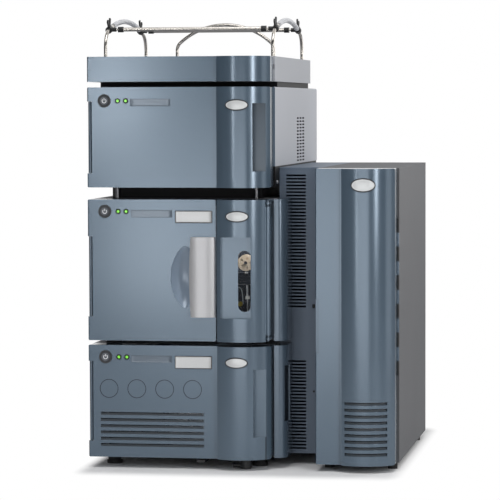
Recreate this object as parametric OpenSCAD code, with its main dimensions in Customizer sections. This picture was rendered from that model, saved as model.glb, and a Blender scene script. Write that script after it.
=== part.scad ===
// Modular liquid chromatography system: a pump, a sampler and a detector stacked under a solvent
// tray with bottle rails, and a tall column heater with a louvred side duct beside the stack.
// Modelled in stack coordinates (X from the stack's left side, Y from the flat of the doors into
// the depth, Z from the bench) and shifted at the end so that the origin is bottom centre.

/* [Module stack] */
// Width of every module in the stack
module_w = 343; // [330:1:356]
// Depth from the flat of the doors to the back of the cabinets
module_d = 610; // [590:1:660]
// Height of the pump
pump_h = 207.5; // [200:0.5:225]
// Height of the sampler
sampler_h = 260; // [254:1:280]
// Height of the detector
detector_h = 184; // [176:1:200]
// Height of the solvent tray
tray_h = 46; // [40:1:60]
// Depth of the solvent tray
tray_d = 516; // [480:1:560]

/* [Feet and plinths] */
// Height of the feet under the pump
foot_h = 20; // [18:1:26]
// Height of the pads between pump and sampler
pad_h = 8.5; // [6:0.5:12]
// Height of the plinth under the detector
detector_plinth_h = 22; // [18:1:30]
// Height of the plinth under the tray
tray_plinth_h = 10; // [8:1:14]
// Radius of the feet under the pump
foot_r = 14.5; // [12:0.5:18]
// Height of the feet under the column heater
heater_foot_h = 13; // [10:1:18]

/* [Doors] */
// Depth of a door shell behind its flat
door_t = 42; // [40:1:46]
// Gap between a door and its cabinet
door_gap = 3; // [2.5:0.5:5]
// Wall of the moulded door shells
door_wall = 3; // [2.5:0.5:4]
// Radius of a door's hinge edge
edge_r = 2.5; // [1.5:0.5:4]
// Radius of a door's corners
corner_r = 3; // [2:0.5:6]
// Width of the rounded column on a module door
col_w = 96.5; // [92:0.5:100]
// Radius of the rounded column
col_r = 70; // [66:1:80]
// Height of the column's crest in front of the flat
col_rise = 20; // [16:1:24]
// Distance from the column's step to its crest
col_apex = 38; // [34:1:42]
// Set-back of a door's right edge from the cabinet side
door_inset = 3.5; // [3:0.5:5]

/* [Door fittings] */
// Radius of a power button
button_r = 12; // [10:0.5:14]
// Distance of the power button from the hinge edge
button_x = 32.5; // [30:0.5:40]
// Radius of a status lamp
lamp_r = 2.5; // [2:0.1:3.5]
// Height of the grip recess in a column
grip_h = 124; // [100:1:140]
// Width of the grip recess in a column
grip_w = 22; // [18:1:24]
// Height of the hinge pocket in the detector door
detector_hinge_h = 132; // [100:1:150]
// Height of the hinge pocket in the sample and pump doors
tall_hinge_h = 148; // [120:1:160]
// Radius of a hinge pin
pin_r = 2; // [1.6:0.1:2.4]
// Running clearance of pins and shafts in their bores
run_fit = 0.05; // [0.02:0.01:0.09]
// Clearance round buttons, lamps and plugs
loose_fit = 0.3; // [0.2:0.05:0.5]
// Radius of the round plugs in the pump door
plug_r = 16.3; // [14:0.1:18]
// Width of the ring groove round a plug
plug_gap = 1.1; // [0.6:0.1:1.6]
// Spacing of the round plugs
plug_pitch = 52.2; // [46:0.2:54]
// Number of air slots in the pump door
pump_slots = 6; // [3:1:6]

/* [Sample door] */
// Gap between the sample door and the fluidics door
sample_door_gap = 3.5; // [3:0.25:7]
// Height of the handle and its scoop above the sampler's base
handle_z = 118; // [110:1:126]
// Height of the handle
handle_h = 147; // [120:1:150]
// Width of the handle
handle_w = 48; // [44:1:52]
// Half width of the finger scoop
scoop_w = 27.5; // [24:0.5:30]
// Half height of the finger scoop
scoop_h = 57; // [50:1:62]

/* [Fluidics door] */
// Width of the window
window_w = 24; // [20:1:28]
// Height of the window
window_h = 112; // [100:1:116]
// Radius of the hinge barrel
barrel_r = 4.5; // [4:0.25:5]

/* [Cabinets] */
// Thickness of the folded sheet covers
sheet = 1.5; // [1:0.25:2]
// Thickness of chassis floors, walls and bulkheads
plate_t = 2; // [1.5:0.25:3]
// Width of the turned-in flanges
flange = 12; // [10:1:14]
// Height of the detector chassis's side walls
pan_h = 38; // [30:1:44]
// Rows of vent slots in the detector cover
vent_rows = 14; // [8:1:14]
// Width of the cheeks beside the sampler and the pump
cheek_w = 23; // [20:1:26]

/* [Bottle rails] */
// Radius of the rail tube
tube_r = 3.3; // [3:0.1:4]
// Height of the hoops above the tray's rim
rail_h = 73; // [66:1:90]
// Distance of the side hoops from the tray's sides
arch_x = 13; // [12:0.5:16]
// Length of a side hoop from leg to leg
arch_l = 383; // [360:1:400]

/* [Sampler mechanism] */
// Clearance between the vial carousel and its compartment
carousel_gap = 7; // [5:0.5:12]
// Radius of a sample vial
vial_r = 5.9; // [5:0.1:6.2]
// Radius of the needle drive's pulley
pulley_r = 15; // [13:0.5:17]

/* [Column heater] */
// Space between the stack and the column heater
heater_gap = 80; // [76:1:90]
// Width of the column heater
heater_w = 149; // [146:1:160]
// Height of the column heater
heater_h = 540; // [520:1:545]
// Depth of the column heater
heater_d = 548; // [520:1:590]
// Width of the rounded column on the heater door
heater_col_w = 96; // [92:0.5:100]
// Number of air slots in the heater door
heater_slots = 9; // [5:1:9]
// Set-back of the side duct from the flat of the doors
duct_y = 100; // [98:1:120]
// Number of louvres in the duct's upper grille
upper_louvres = 40; // [20:1:40]
// Number of louvres in the duct's lower grille
lower_louvres = 27; // [10:1:27]
// Spacing of the louvres
louvre_pitch = 6.25; // [6:0.05:6.3]

/* [Fans] */
// Side of a square fan frame
fan_w = 80; // [70:1:84]
// Depth of a fan frame
fan_d = 25; // [20:1:28]
// Number of fan blades
fan_blades = 7; // [5:1:9]

/* [Hidden] */
$fn = 64;
over = 1;                                   // overshoot of every cutting shape
pump_z = foot_h;
sampler_z = pump_z + pump_h + pad_h;
detector_z = sampler_z + sampler_h + detector_plinth_h;
tray_z = detector_z + detector_h + tray_plinth_h;
rim_z = tray_z + tray_h;
cab_y = door_t + door_gap;                  // front of the cabinets
rear_y = module_d - 12;                     // inner face of the rear walls
door_w = module_w - door_inset;
crease_x = door_w - col_w;
sample_door_w = crease_x - sample_door_gap;
heater_x = module_w + heater_gap;
heater_top = heater_foot_h + heater_h;
heater_door_w = heater_w - 4;
heater_crease = heater_door_w - heater_col_w;
total_w = heater_x + heater_w;
total_d = module_d + col_rise;
hinge_at = [4.5, 6.5];                      // hinge axis of the left-hung doors
pocket_w = 9;                               // width of a hinge pocket
end_plate = 6;                              // thickness of the plates that hold a hinge pin
control_drop = 22;                          // power button below the door's top edge
detector_control_drop = 25;
lamp_gaps = [25, 40];                       // status lamps to the right of the power button
grip_right = 7.5;                           // grip recess to the door's right edge
grip_y = 4;                                 // floor of the grip recess
slot_h = 5.5;                               // height of a door's air groove
slit_h = 1.8;                               // open slit along the top of a groove
groove_d = 2;                               // depth of a groove below the slit
slot_pitch = 11.6;
fluid_axis = [door_w - 3.5, 3];             // hinge axis of the fluidics door
fluid_w = fluid_axis.x - barrel_r;          // right edge of the fluidics door's shell
barrel_end = 12.5;                          // barrel ends to the sampler's top and bottom
heater_axis = [heater_x + heater_door_w + 1.5, door_t + door_gap / 2];
knuckle_r = 2.5;                            // knuckles of the heater's long hinge
knuckles = 11;
heater_hinge_z = 174;
heater_hinge_h = 288;
fan_x = 92;                                 // fan centre from a cabinet's left side
fan_pin_r = 2.5;
chamber_x = [14, crease_x - 15];            // sides of the sample compartment
chamber_wall = 6;
carousel_at = [(chamber_x[0] + chamber_x[1]) / 2, 165];
carousel_r = (chamber_x[1] - chamber_x[0]) / 2 - chamber_wall - carousel_gap;
spindle_r = 6;
needle_at = [door_w - 55.5, 88];                    // needle in plan
pulley_z = sampler_z + 140;
valve_z = sampler_z + 4;
valve_h = 34;
knob_at = [door_w - 39.5, pump_z + 136];          // prime valve, in X and Z
knob_pin_r = 4;
bulkhead_y = 100;                           // front of the pump and detector bulkheads

// A block between two corners
module slab(x0, x1, y0, y1, z0, z1)
    translate([x0, y0, z0]) cube([x1 - x0, y1 - y0, z1 - z0]);

// Round bars along each axis
module bar_x(y, z, r, x0, x1) translate([x0, y, z]) rotate([0, 90, 0]) cylinder(r = r, h = x1 - x0);
module bar_y(x, z, r, y0, y1) translate([x, y0, z]) rotate([-90, 0, 0]) cylinder(r = r, h = y1 - y0);
module bar_z(x, y, r, z0, z1) translate([x, y, z0]) cylinder(r = r, h = z1 - z0);

// Moves stack coordinates to the part's own frame
module placed() translate([-total_w / 2, col_rise - total_d / 2, 0]) children();

// ---------------------------------------------------------------- shared door forms

module column_outline(w, crease, inset = 0)
    intersection() {
        translate([crease + col_apex, col_r - col_rise]) circle(col_r - inset);
        translate([crease + inset, -col_rise])
            square([w - crease - 2 * inset, col_rise + door_t + (inset > 0 ? over : 0)]);
    }

module leaf_outline(w) {
    translate([edge_r, 0]) square([w - edge_r, door_t]);
    translate([0, edge_r]) square([2 * edge_r, door_t - edge_r]);
    translate([edge_r, edge_r]) circle(edge_r);
}

// A block with rounded corners as seen from the front
module rounded_face(w, h, r) {
    y0 = -col_rise - over;
    y1 = door_t + over;
    slab(0, w, y0, y1, r, h - r);
    slab(r, w - r, y0, y1, 0, h);
    for (x = [r, w - r], z = [r, h - r]) bar_y(x, z, r, y0, y1);
}

// A moulded door shell, open at the back, with a rounded column at its right
module door_shell(w, h, crease)
    intersection() {
        difference() {
            linear_extrude(h) {
                leaf_outline(crease);
                column_outline(w, crease);
            }
            translate([0, 0, door_wall]) linear_extrude(h - 2 * door_wall) {
                translate([door_wall, door_wall]) square([crease, door_t]);
                column_outline(w, crease, door_wall);
            }
        }
        rounded_face(w, h, corner_r);
    }

// Walls round a recess in the front of a column, kept inside its outline
module column_backing(w, h, crease, x0, x1, y1, z0, z1)
    intersection() {
        linear_extrude(h) column_outline(w, crease);
        slab(x0 - door_wall, x1 + door_wall, -col_rise, y1 + door_wall, z0 - door_wall, z1 + door_wall);
    }

// A door with a column, a grip recess in it and a hinge pocket in its left edge
module column_door(h, hinge_h)
{
    z0 = (h - grip_h) / 2;
    x1 = door_w - grip_right;
    x0 = x1 - grip_w;
    difference() {
        union() {
            door_shell(door_w, h, crease_x);
            column_backing(door_w, h, crease_x, x0, x1, grip_y, z0, z0 + grip_h);
            hinge_walls(h / 2 - hinge_h / 2, hinge_h);
        }
        slab(x0, x1, -col_rise - over, grip_y, z0, z0 + grip_h);
        hinge_cut(h / 2 - hinge_h / 2, hinge_h);
    }
}

module hinge_walls(z, h)
    slab(1, pocket_w + door_wall, 1, door_t, z - end_plate, z + h + end_plate);

module hinge_cut(z, h) {
    slab(-over, pocket_w, -over, door_t + over, z, z + h);
    bar_z(hinge_at.x, hinge_at.y, pin_r + run_fit, z - end_plate - over, z + h + end_plate + over);
}

// Knuckle, pin and leaf of a left-hung door
module left_hinge(z, h) {
    knuckle = 3.5;
    leaf_x = 1.5;
    bar_z(hinge_at.x, hinge_at.y, knuckle, z + 0.5, z + h - 0.5);
    bar_z(hinge_at.x, hinge_at.y, pin_r, z - end_plate + 0.5, z + h + end_plate - 0.5);
    slab(leaf_x, hinge_at.x, hinge_at.y, cab_y, z + 4, z + h - 4);
}

module control_holes(z) {
    bar_y(button_x, z, button_r + loose_fit, -over, door_wall + over);
    for (dx = lamp_gaps) bar_y(button_x + dx, z, lamp_r + loose_fit, -over, door_wall + over);
}

// A round button with a dished face and a flange behind the door's wall
module power_button(z)
    color([0.06, 0.06, 0.07]) placed() difference() {
        union() {
            bar_y(button_x, z, button_r, -1.5, door_wall);
            bar_y(button_x, z, button_r + 2, door_wall, door_wall + 2);
        }
        translate([button_x, -40.8, z]) sphere(r = 40.2, $fn = 64);
    }

module status_lamps(z)
    color([0.2, 0.95, 0.3]) placed() for (dx = lamp_gaps) {
        bar_y(button_x + dx, z, lamp_r, -0.4, door_wall);
        bar_y(button_x + dx, z, lamp_r + 1.5, door_wall, door_wall + 1.5);
    }

// ---------------------------------------------------------------- shared cabinet forms

// A folded cover: top, two sides with bent corners and turned-in front flanges
module wrap_cover(z0, z1) {
    bend = 3;
    h = z1 - z0;
    difference() {
        translate([0, module_d, z0]) rotate([90, 0, 0]) linear_extrude(module_d - cab_y) {
            square([module_w, h - bend]);
            translate([bend, 0]) square([module_w - 2 * bend, h]);
            for (x = [bend, module_w - bend]) translate([x, h - bend]) circle(bend);
        }
        slab(sheet, module_w - sheet, cab_y + sheet, module_d + over, z0 - over, z1 - sheet);
        slab(flange, module_w - flange, cab_y - over, cab_y + 2 * sheet, z0 - over, z1 - flange);
    }
}

// A folded chassis: floor, side flanges, front lip and a rear wall with cut-outs
module chassis_pan(z0, z1, side_h) {
    inner = sheet;
    difference() {
        union() {
            slab(0, module_w, cab_y, rear_y + plate_t, z0, z0 + plate_t);
            for (x = [inner, module_w - inner - plate_t])
                slab(x, x + plate_t, cab_y + sheet, rear_y, z0, z0 + side_h);
            slab(flange, module_w - flange, cab_y, cab_y + plate_t, z0, z0 + flange);
            slab(inner, module_w - inner, rear_y, rear_y + plate_t, z0, z1 - sheet);
        }
        fan_guard(fan_x, (z0 + z1) / 2, rear_y);
        rear_holes((z0 + z1) / 2);
    }
}

// Ring-shaped air openings of a fan guard, crossed by two bars
module fan_guard(x, z, y)
    difference() {
        union() for (r = [8, 18, 28])
            difference() {
                bar_y(x, z, r + 7, y - over, y + plate_t + over);
                bar_y(x, z, r, y - 2 * over, y + plate_t + 2 * over);
            }
        for (turn = [45, 135]) translate([x, y + plate_t / 2, z]) rotate([0, turn, 0])
            cube([fan_w, 2 * plate_t + 4 * over, 3], center = true);
    }

// Places of the sockets on a rear wall
inlet_x = module_w - 93;
port_xs = [module_w - 171, module_w - 147];
strip_x = [module_w - 183, module_w - 53];
module rear_holes(z) {
    slab(inlet_x - 14, inlet_x + 14, rear_y - over, rear_y + plate_t + over, z - 45, z - 22);
    for (x = port_xs) slab(x - 8, x + 8, rear_y - over, rear_y + plate_t + over, z - 40, z - 26);
    slab(strip_x[0], strip_x[1], rear_y - over, rear_y + plate_t + over, z + 20, z + 32);
}

// Power inlet, two data ports and a terminal strip
module rear_sockets(z) {
    y1 = rear_y + plate_t;
    difference() {
        union() {
            slab(inlet_x - 14, inlet_x + 14, rear_y - 18, y1, z - 45, z - 22);
            slab(inlet_x - 20, inlet_x + 20, y1, y1 + 2.5, z - 49, z - 18);
        }
        slab(inlet_x - 11.5, inlet_x + 11.5, rear_y - 14, y1 + 2.5 + over, z - 42, z - 25);
    }
    for (dx = [-6, 0, 6])
        slab(inlet_x + dx - 1, inlet_x + dx + 1, rear_y - 14, y1, z - 36, z - 31);
    for (x = port_xs) difference() {
        union() {
            slab(x - 8, x + 8, rear_y - 12, y1, z - 40, z - 26);
            slab(x - 10, x + 10, y1, y1 + 1.5, z - 42, z - 24);
        }
        slab(x - 6, x + 6, rear_y - 9, y1 + 1.5 + over, z - 38, z - 28);
    }
    difference() {
        union() {
            slab(strip_x[0], strip_x[1], rear_y - 8, y1, z + 20, z + 32);
            slab(strip_x[0] - 3, strip_x[1] + 3, y1, y1 + 5, z + 17, z + 35);
        }
        for (i = [0:9]) translate([strip_x[0] + 4 + 12.6 * i, 0, z])
            slab(0, 8, y1 - 3, y1 + 5 + over, 21, 31);
    }
}

// A square fan frame with a finger of arms that carries the rotor's shaft
module fan_frame(x, z, y) {
    duct_r = fan_w / 2 - 2;
    y0 = y - fan_d;
    difference() {
        slab(x - fan_w / 2, x + fan_w / 2, y0, y, z - fan_w / 2, z + fan_w / 2);
        bar_y(x, z, duct_r, y0 - over, y + over);
    }
    for (turn = [30, 150, 270]) translate([x, y0, z]) rotate([0, turn, 0])
        translate([0, 0, -2]) cube([duct_r + 1, 3, 4]);
    bar_y(x, z, 14, y0, y0 + 3);
    bar_y(x, z, fan_pin_r, y0 + 3, y - 4);
}

// A fan rotor: cupped hub and pitched blades
module fan_rotor(x, z, y) {
    tip_r = fan_w / 2 - 4;
    hub_r = 15;
    y0 = y - fan_d + 4;
    depth = fan_d - 8;
    color([0.09, 0.09, 0.1]) placed() difference() {
        union() {
            bar_y(x, z, hub_r, y0, y0 + depth);
            intersection() {
                for (i = [0:fan_blades - 1]) translate([x, y0 + depth / 2, z])
                    rotate([0, i * 360 / fan_blades, 0]) translate([hub_r - 2, 0, 0]) rotate([38, 0, 0])
                        translate([0, -0.8, -12]) cube([tip_r, 1.6, 24]);
                bar_y(x, z, tip_r, y0, y0 + depth);
            }
        }
        bar_y(x, z, fan_pin_r + run_fit, y0 - over, y0 + depth + over);
    }
}

// ---------------------------------------------------------------- solvent tray

// Moulded fascia of the tray, closed at the top
module tray_fascia()
    color([0.45, 0.5, 0.55]) placed() translate([0, 0, tray_z]) difference() {
        linear_extrude(tray_h) {
            leaf_outline(crease_x);
            column_outline(door_w, crease_x);
        }
        translate([0, 0, -over]) linear_extrude(tray_h - door_wall + over) {
            translate([door_wall, door_wall]) square([crease_x, door_t]);
            column_outline(door_w, crease_x, door_wall);
        }
    }

// Folded pan that holds the solvent bottles, with a returned rim
module tray_pan() {
    notch_z = 22;
    notch_h = 9;
    color([0.7, 0.71, 0.73]) placed() translate([0, 0, tray_z]) difference() {
        union() {
            slab(0, module_w, cab_y, tray_d, 0, tray_h);
            for (x = [door_wall + 4, door_w - door_wall - 24])
                slab(x, x + 20, 12, cab_y, tray_h - door_wall - 12, tray_h - door_wall);
        }
        slab(plate_t, module_w - plate_t, cab_y + plate_t, tray_d - plate_t, plate_t, tray_h - plate_t);
        slab(8, module_w - 8, cab_y + 8, tray_d - 8, tray_h - 2 * plate_t, tray_h + over);
        for (x = [-over, module_w - plate_t - over])
            slab(x, x + plate_t + 2 * over, cab_y - over, cab_y + 3, notch_z, notch_z + notch_h);
    }
    color([0.7, 0.71, 0.73]) placed() for (p = leg_points)
        difference() {
            bar_z(p.x, p.y, tube_r + 4, tray_z + plate_t, tray_z + 14);
            bar_z(p.x, p.y, tube_r + loose_fit, tray_z + plate_t + 2, tray_z + 14 + over);
        }
}

// Black plinth between the tray and the detector
module tray_plinth() {
    z0 = tray_z - tray_plinth_h;
    rim = 4;
    color([0.05, 0.05, 0.06]) placed() difference() {
        slab(4, module_w - 4, 100, tray_d - 4, z0, tray_z);
        slab(4 + rim, module_w - 4 - rim, 100 + rim, tray_d - 4 - rim, z0 - over, tray_z - 3);
    }
}

// ---------------------------------------------------------------- bottle rails

arch_y = 104;                               // front leg of a side hoop
arch_turn = 75;                             // turn of a hoop's shoulder bend
shoulder_r = 35.4;
crown_r = (arch_l / 2 - shoulder_r * (1 - cos(arch_turn))) / cos(arch_turn);
arch_top = rim_z + rail_h;
arch_bend = arch_top - shoulder_r * sin(arch_turn) - crown_r * (1 - sin(arch_turn));
leg_foot = tray_z + 6;                      // bottom end of every leg
rear_hoop_y = tray_d - 16;
rear_xs = [74.5, module_w - 71.5];
rear_span = (rear_xs[1] - rear_xs[0]) / 2;
rear_r = 20;
rear_turn = 48;
rear_crown_r = (rear_span - rear_r * (1 - cos(rear_turn))) / cos(rear_turn);
rear_top = arch_top - 1;
rear_bend = rear_top - rear_r * sin(rear_turn) - rear_crown_r * (1 - sin(rear_turn));
bar_ys = [arch_y + 35, arch_y + arch_l - 57];
function arch_tilt(y) = asin((y - arch_y - arch_l / 2) / crown_r);
function arch_z(y) = arch_top - crown_r * (1 - cos(arch_tilt(y)));
bar_r = 3.8;
grip_l = 10;
rod_r = 1.8;
clamp_r = 6.5;
leg_points = [for (x = [arch_x, module_w - arch_x], y = [arch_y, arch_y + arch_l]) [x, y],
              for (x = rear_xs) [x, rear_hoop_y]];

// A bent tube of two legs, two shoulders and a shallow crown, in the plane of X and Z
module hoop(span, foot_z, bend_z, r1, turn, r2, r) {
    core = r - 0.6;                         // inner core that joins the lengths of tube
    seam = 0.02;                            // seam between two lengths
    for (side = [-1, 1]) {
        translate([side * span / 2, 0, foot_z]) cylinder(r = r, h = bend_z - foot_z - seam);
        translate([side * span / 2, 0, bend_z - 3]) cylinder(r = core, h = 6);
        translate([side * (span / 2 - r1), 0, bend_z]) rotate([90, 0, 0])
            rotate([0, 0, side < 0 ? 180 - turn : 0]) rotate_extrude(angle = turn) translate([r1, 0]) circle(r);
        translate([side * (span / 2 - r1 + r1 * cos(turn)), 0, bend_z + r1 * sin(turn)])
            rotate([0, -side * turn, 0]) translate([0, 0, -3]) cylinder(r = core, h = 6);
    }
    crown_sector(span, bend_z, r1, turn, r2, 90 - turn - asin(seam / r2)) circle(r, $fn = 64);
}

// The crown arc of a hoop, swept half_angle to each side of its top
module crown_sector(span, bend_z, r1, turn, r2, half_angle)
    translate([0, 0, bend_z + r1 * sin(turn) - r2 * sin(turn)]) rotate([90, 0, 0])
        rotate([0, 0, 90 - half_angle]) rotate_extrude(angle = 2 * half_angle, $fn = 720)
            translate([r2, 0]) children();

module at_side_arch(x) translate([x, arch_y + arch_l / 2, 0]) rotate([0, 0, 90]) children();

module rail_arches()
    color([0.75, 0.74, 0.73]) placed() for (x = [arch_x, module_w - arch_x]) at_side_arch(x)
        hoop(arch_l, leg_foot, arch_bend, shoulder_r, arch_turn, crown_r, tube_r);

module rail_rear_hoop()
    color([0.75, 0.74, 0.73]) placed() translate([(rear_xs[0] + rear_xs[1]) / 2, rear_hoop_y, 0])
        hoop(2 * rear_span, leg_foot, rear_bend, rear_r, rear_turn, rear_crown_r, tube_r);

// Two crossbars with thin ends that reach the clamps on the side hoops
module rail_crossbars()
    color([0.75, 0.74, 0.73]) placed() for (y = bar_ys) {
        bar_x(y, arch_z(y), bar_r, 30, module_w - 30);
        bar_x(y, arch_z(y), rod_r, arch_x + clamp_r + 1, module_w - arch_x - clamp_r - 1);
    }

// Clamps with wing screws on the hoops, and the grips on the ends of the crossbars
module rail_clamps()
    color([0.07, 0.07, 0.07]) placed() for (y = bar_ys, side = [0, 1]) {
        translate([side == 0 ? arch_x : module_w - arch_x, y, arch_z(y)]) rotate([0, 0, 180 * side])
            rail_clamp(side == 0 ? arch_tilt(y) : -arch_tilt(y));
        x0 = side == 0 ? 30 : module_w - 30 - grip_l;
        difference() {
            bar_x(y, arch_z(y), bar_r + 1.5, x0, x0 + grip_l);
            bar_x(y, arch_z(y), bar_r + loose_fit, x0 - over, x0 + grip_l + over);
        }
    }

// One clamp: a ring on the tube, a socket for the rod and a wing screw
module rail_clamp(tilt)
    difference() {
        union() {
            rotate([-tilt, 0, 0]) {
                bar_y(0, 0, clamp_r, -6, 6);
                bar_z(0, 0, 3, 0, 13);
                for (lean = [-30, 30]) rotate([lean, 0, 0]) translate([-1.5, -3, 8]) cube([3, 6, 14]);
            }
            bar_x(0, 0, 4, 0, clamp_r + 7);
        }
        rotate([-tilt, 0, 0]) bar_y(0, 0, tube_r + loose_fit, -20, 20);
        bar_x(0, 0, rod_r + loose_fit, clamp_r - 1, clamp_r + 7 + over);
    }

// Clear sleeves over the crowns of the side hoops
module rail_sleeves()
    color([0.9, 0.91, 0.92, 0.6]) placed() for (x = [arch_x, module_w - arch_x]) at_side_arch(x)
        crown_sector(arch_l, arch_bend, shoulder_r, arch_turn, crown_r, 11) difference() {
            circle(tube_r + 1.6, $fn = 64);
            circle(tube_r + loose_fit, $fn = 64);
        }

// ---------------------------------------------------------------- detector

module detector_door()
    color([0.45, 0.5, 0.55]) placed() translate([0, 0, detector_z]) difference() {
        column_door(detector_h, detector_hinge_h);
        control_holes(detector_h - detector_control_drop);
    }

module detector_power_button() power_button(detector_z + detector_h - detector_control_drop);
module detector_status_lamps() status_lamps(detector_z + detector_h - detector_control_drop);

// Light cover with a block of vent slots in each side
module detector_cover() {
    slot = [25, 3];
    pitch_y = 37;
    pitch_z = 6.3;
    color([0.7, 0.71, 0.73]) placed() difference() {
        wrap_cover(detector_z + pan_h, detector_z + detector_h);
        for (i = [0:2], k = [0:vent_rows - 1])
            slab(-over, module_w + over, 326 + pitch_y * i, 326 + pitch_y * i + slot[0],
                 detector_z + pan_h + 4 + pitch_z * k, detector_z + pan_h + 4 + pitch_z * k + slot[1]);
    }
}

// Black pan of the detector on its recessed plinth
module detector_chassis() {
    plinth_in = 30;
    color([0.05, 0.05, 0.06]) placed() {
        chassis_pan(detector_z, detector_z + detector_h, pan_h + 8);
        for (x = [0, module_w - sheet])
            slab(x, x + sheet, cab_y, rear_y + plate_t, detector_z, detector_z + pan_h);
        difference() {
            slab(plinth_in, module_w - plinth_in, 82, module_d - 50, detector_z - detector_plinth_h, detector_z);
            slab(plinth_in + 5, module_w - plinth_in - 5, 87, module_d - 55,
                 detector_z - detector_plinth_h - over, detector_z - 4);
        }
    }
}

cell_x = module_w - 88;                     // middle of the flow cell

// Front wall of the detector, with the openings for the lamp and the flow cell
module detector_bulkhead()
    color([0.62, 0.64, 0.66]) placed() difference() {
        union() {
            slab(sheet + plate_t, module_w - sheet - plate_t, bulkhead_y, bulkhead_y + plate_t,
                 detector_z + plate_t, detector_z + detector_h - sheet);
            slab(sheet + plate_t, module_w - sheet - plate_t, bulkhead_y, bulkhead_y + 14,
                 detector_z + plate_t, detector_z + 2 * plate_t);
        }
        slab(46, 124, bulkhead_y - over, bulkhead_y + plate_t + over, detector_z + 48, detector_z + 136);
        slab(cell_x - 37, cell_x + 37, bulkhead_y - over, bulkhead_y + plate_t + over, detector_z + 58, detector_z + 126);
    }

// Finned lamp housing with two thumb screws
module lamp_housing() {
    z = detector_z + 40;
    h = 104;
    color([0.55, 0.56, 0.58]) placed() {
        slab(40, 130, bulkhead_y - 3, bulkhead_y, z, z + h);
        slab(47, 123, bulkhead_y, bulkhead_y + 70, z + 9, z + h - 9);
        for (i = [0:8]) slab(46 + 9 * i, 49 + 9 * i, bulkhead_y - 30, bulkhead_y - 3, z + 14, z + h - 14);
        for (dz = [7, h - 7]) bar_y(85, z + dz, 6, bulkhead_y - 15, bulkhead_y - 3);
    }
}

// Flow cell block with its handle plate, window nuts and tube ports
module flow_cell() {
    z = detector_z + 64;
    color([0.78, 0.78, 0.79]) placed() difference() {
        union() {
            slab(cell_x - 45, cell_x + 45, bulkhead_y - 4, bulkhead_y, z - 12, z + 68);
            slab(cell_x - 36, cell_x + 36, bulkhead_y, bulkhead_y + 60, z - 5, z + 61);
            slab(cell_x - 23, cell_x + 23, bulkhead_y - 34, bulkhead_y - 4, z + 4, z + 52);
            for (dz = [16, 40]) bar_y(cell_x, z + dz, 6, bulkhead_y - 44, bulkhead_y - 34);
        }
        for (dz = [16, 40]) bar_y(cell_x, z + dz, 1.6, bulkhead_y - 45, bulkhead_y - 20);
    }
}

module detector_fan() fan_rotor(fan_x, detector_z + detector_h / 2, rear_y);

// Turned steel posts at the corners of the detector's plinth
module detector_feet()
    color([0.75, 0.75, 0.76]) placed() for (x = [40, module_w - 40], y = [76, module_d - 44])
        bar_z(x, y, 4.5, detector_z - detector_plinth_h, detector_z);

// ---------------------------------------------------------------- sampler

module sampler_chassis()
    color([0.3, 0.31, 0.33]) placed() chassis_pan(sampler_z, sampler_z + sampler_h, 20);

module sampler_cover()
    color([0.66, 0.68, 0.7]) placed() wrap_cover(sampler_z + plate_t, sampler_z + sampler_h);

// Front frame with one opening for the samples and one for the fluidics bay
module sampler_bulkhead() {
    y0 = cab_y + plate_t;
    color([0.62, 0.64, 0.66]) placed() difference() {
        slab(sheet + plate_t, module_w - sheet - plate_t, y0, y0 + plate_t,
             sampler_z + plate_t, sampler_z + sampler_h - sheet);
        slab(20, crease_x - 21, y0 - over, y0 + plate_t + over, sampler_z + 16, sampler_z + sampler_h - 14);
        slab(crease_x + 3, module_w - 12, y0 - over, y0 + plate_t + over, sampler_z + 6, sampler_z + sampler_h - 14);
    }
}

// Insulated compartment, open at the front, with the carousel's spindle
module sample_compartment() {
    y0 = cab_y + 2 * plate_t;
    wall = chamber_wall;
    z0 = sampler_z + 10;
    z1 = sampler_z + sampler_h - 8;
    color([0.85, 0.85, 0.84]) placed() {
        difference() {
            slab(chamber_x[0], chamber_x[1], y0, 420, z0, z1);
            slab(chamber_x[0] + wall, chamber_x[1] - wall, y0 - over, 420 - wall, z0 + wall, z1 - wall);
        }
        for (x = [30, crease_x - 51]) slab(x, x + 20, y0 + 10, 410, sampler_z + plate_t, z0);
        bar_z(carousel_at.x, carousel_at.y, spindle_r, z0 + wall, z0 + wall + 22);
        bar_z(carousel_at.x, carousel_at.y, 20, z0 + wall, z0 + wall + 3);
    }
}

deck_z = sampler_z + 19;                    // underside of the carousel
vial_pitch = 27;                            // spacing of the vials along a ring
vial_rings = [for (r = [carousel_r - 42, carousel_r - 24, carousel_r - 9]) [r, round(2 * PI * r / vial_pitch)]];

// Turntable with three rings of vial holes
module vial_carousel()
    color([0.2, 0.28, 0.4]) placed() difference() {
        union() {
            bar_z(carousel_at.x, carousel_at.y, carousel_r, deck_z, deck_z + 4);
            bar_z(carousel_at.x, carousel_at.y, carousel_r, deck_z + 18, deck_z + 22);
            bar_z(carousel_at.x, carousel_at.y, carousel_r - 54, deck_z, deck_z + 22);
        }
        for (ring = vial_rings, i = [0:ring[1] - 1]) translate([carousel_at.x, carousel_at.y, 0])
            rotate([0, 0, 360 / ring[1] * i])
                bar_z(ring[0], 0, vial_r + loose_fit, deck_z + 10, deck_z + 22 + over);
        bar_z(carousel_at.x, carousel_at.y, spindle_r + run_fit, deck_z - over, deck_z + 22 + over);
        bar_z(carousel_at.x, carousel_at.y, carousel_r - 64, deck_z + 12, deck_z + 22 + over);
    }

// Sample vials with narrower caps, standing on the carousel's deck
module vials()
    color([0.8, 0.85, 0.88, 0.7]) placed() for (ring = vial_rings, i = [0:ring[1] - 1])
        translate([carousel_at.x, carousel_at.y, deck_z + 4]) rotate([0, 0, 360 / ring[1] * i])
            translate([ring[0], 0, 0]) {
                cylinder(r = vial_r, h = 26);
                cylinder(r = vial_r - 1.6, h = 28);
                translate([0, 0, 27]) cylinder(r = vial_r - 0.4, h = 5);
            }

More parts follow.
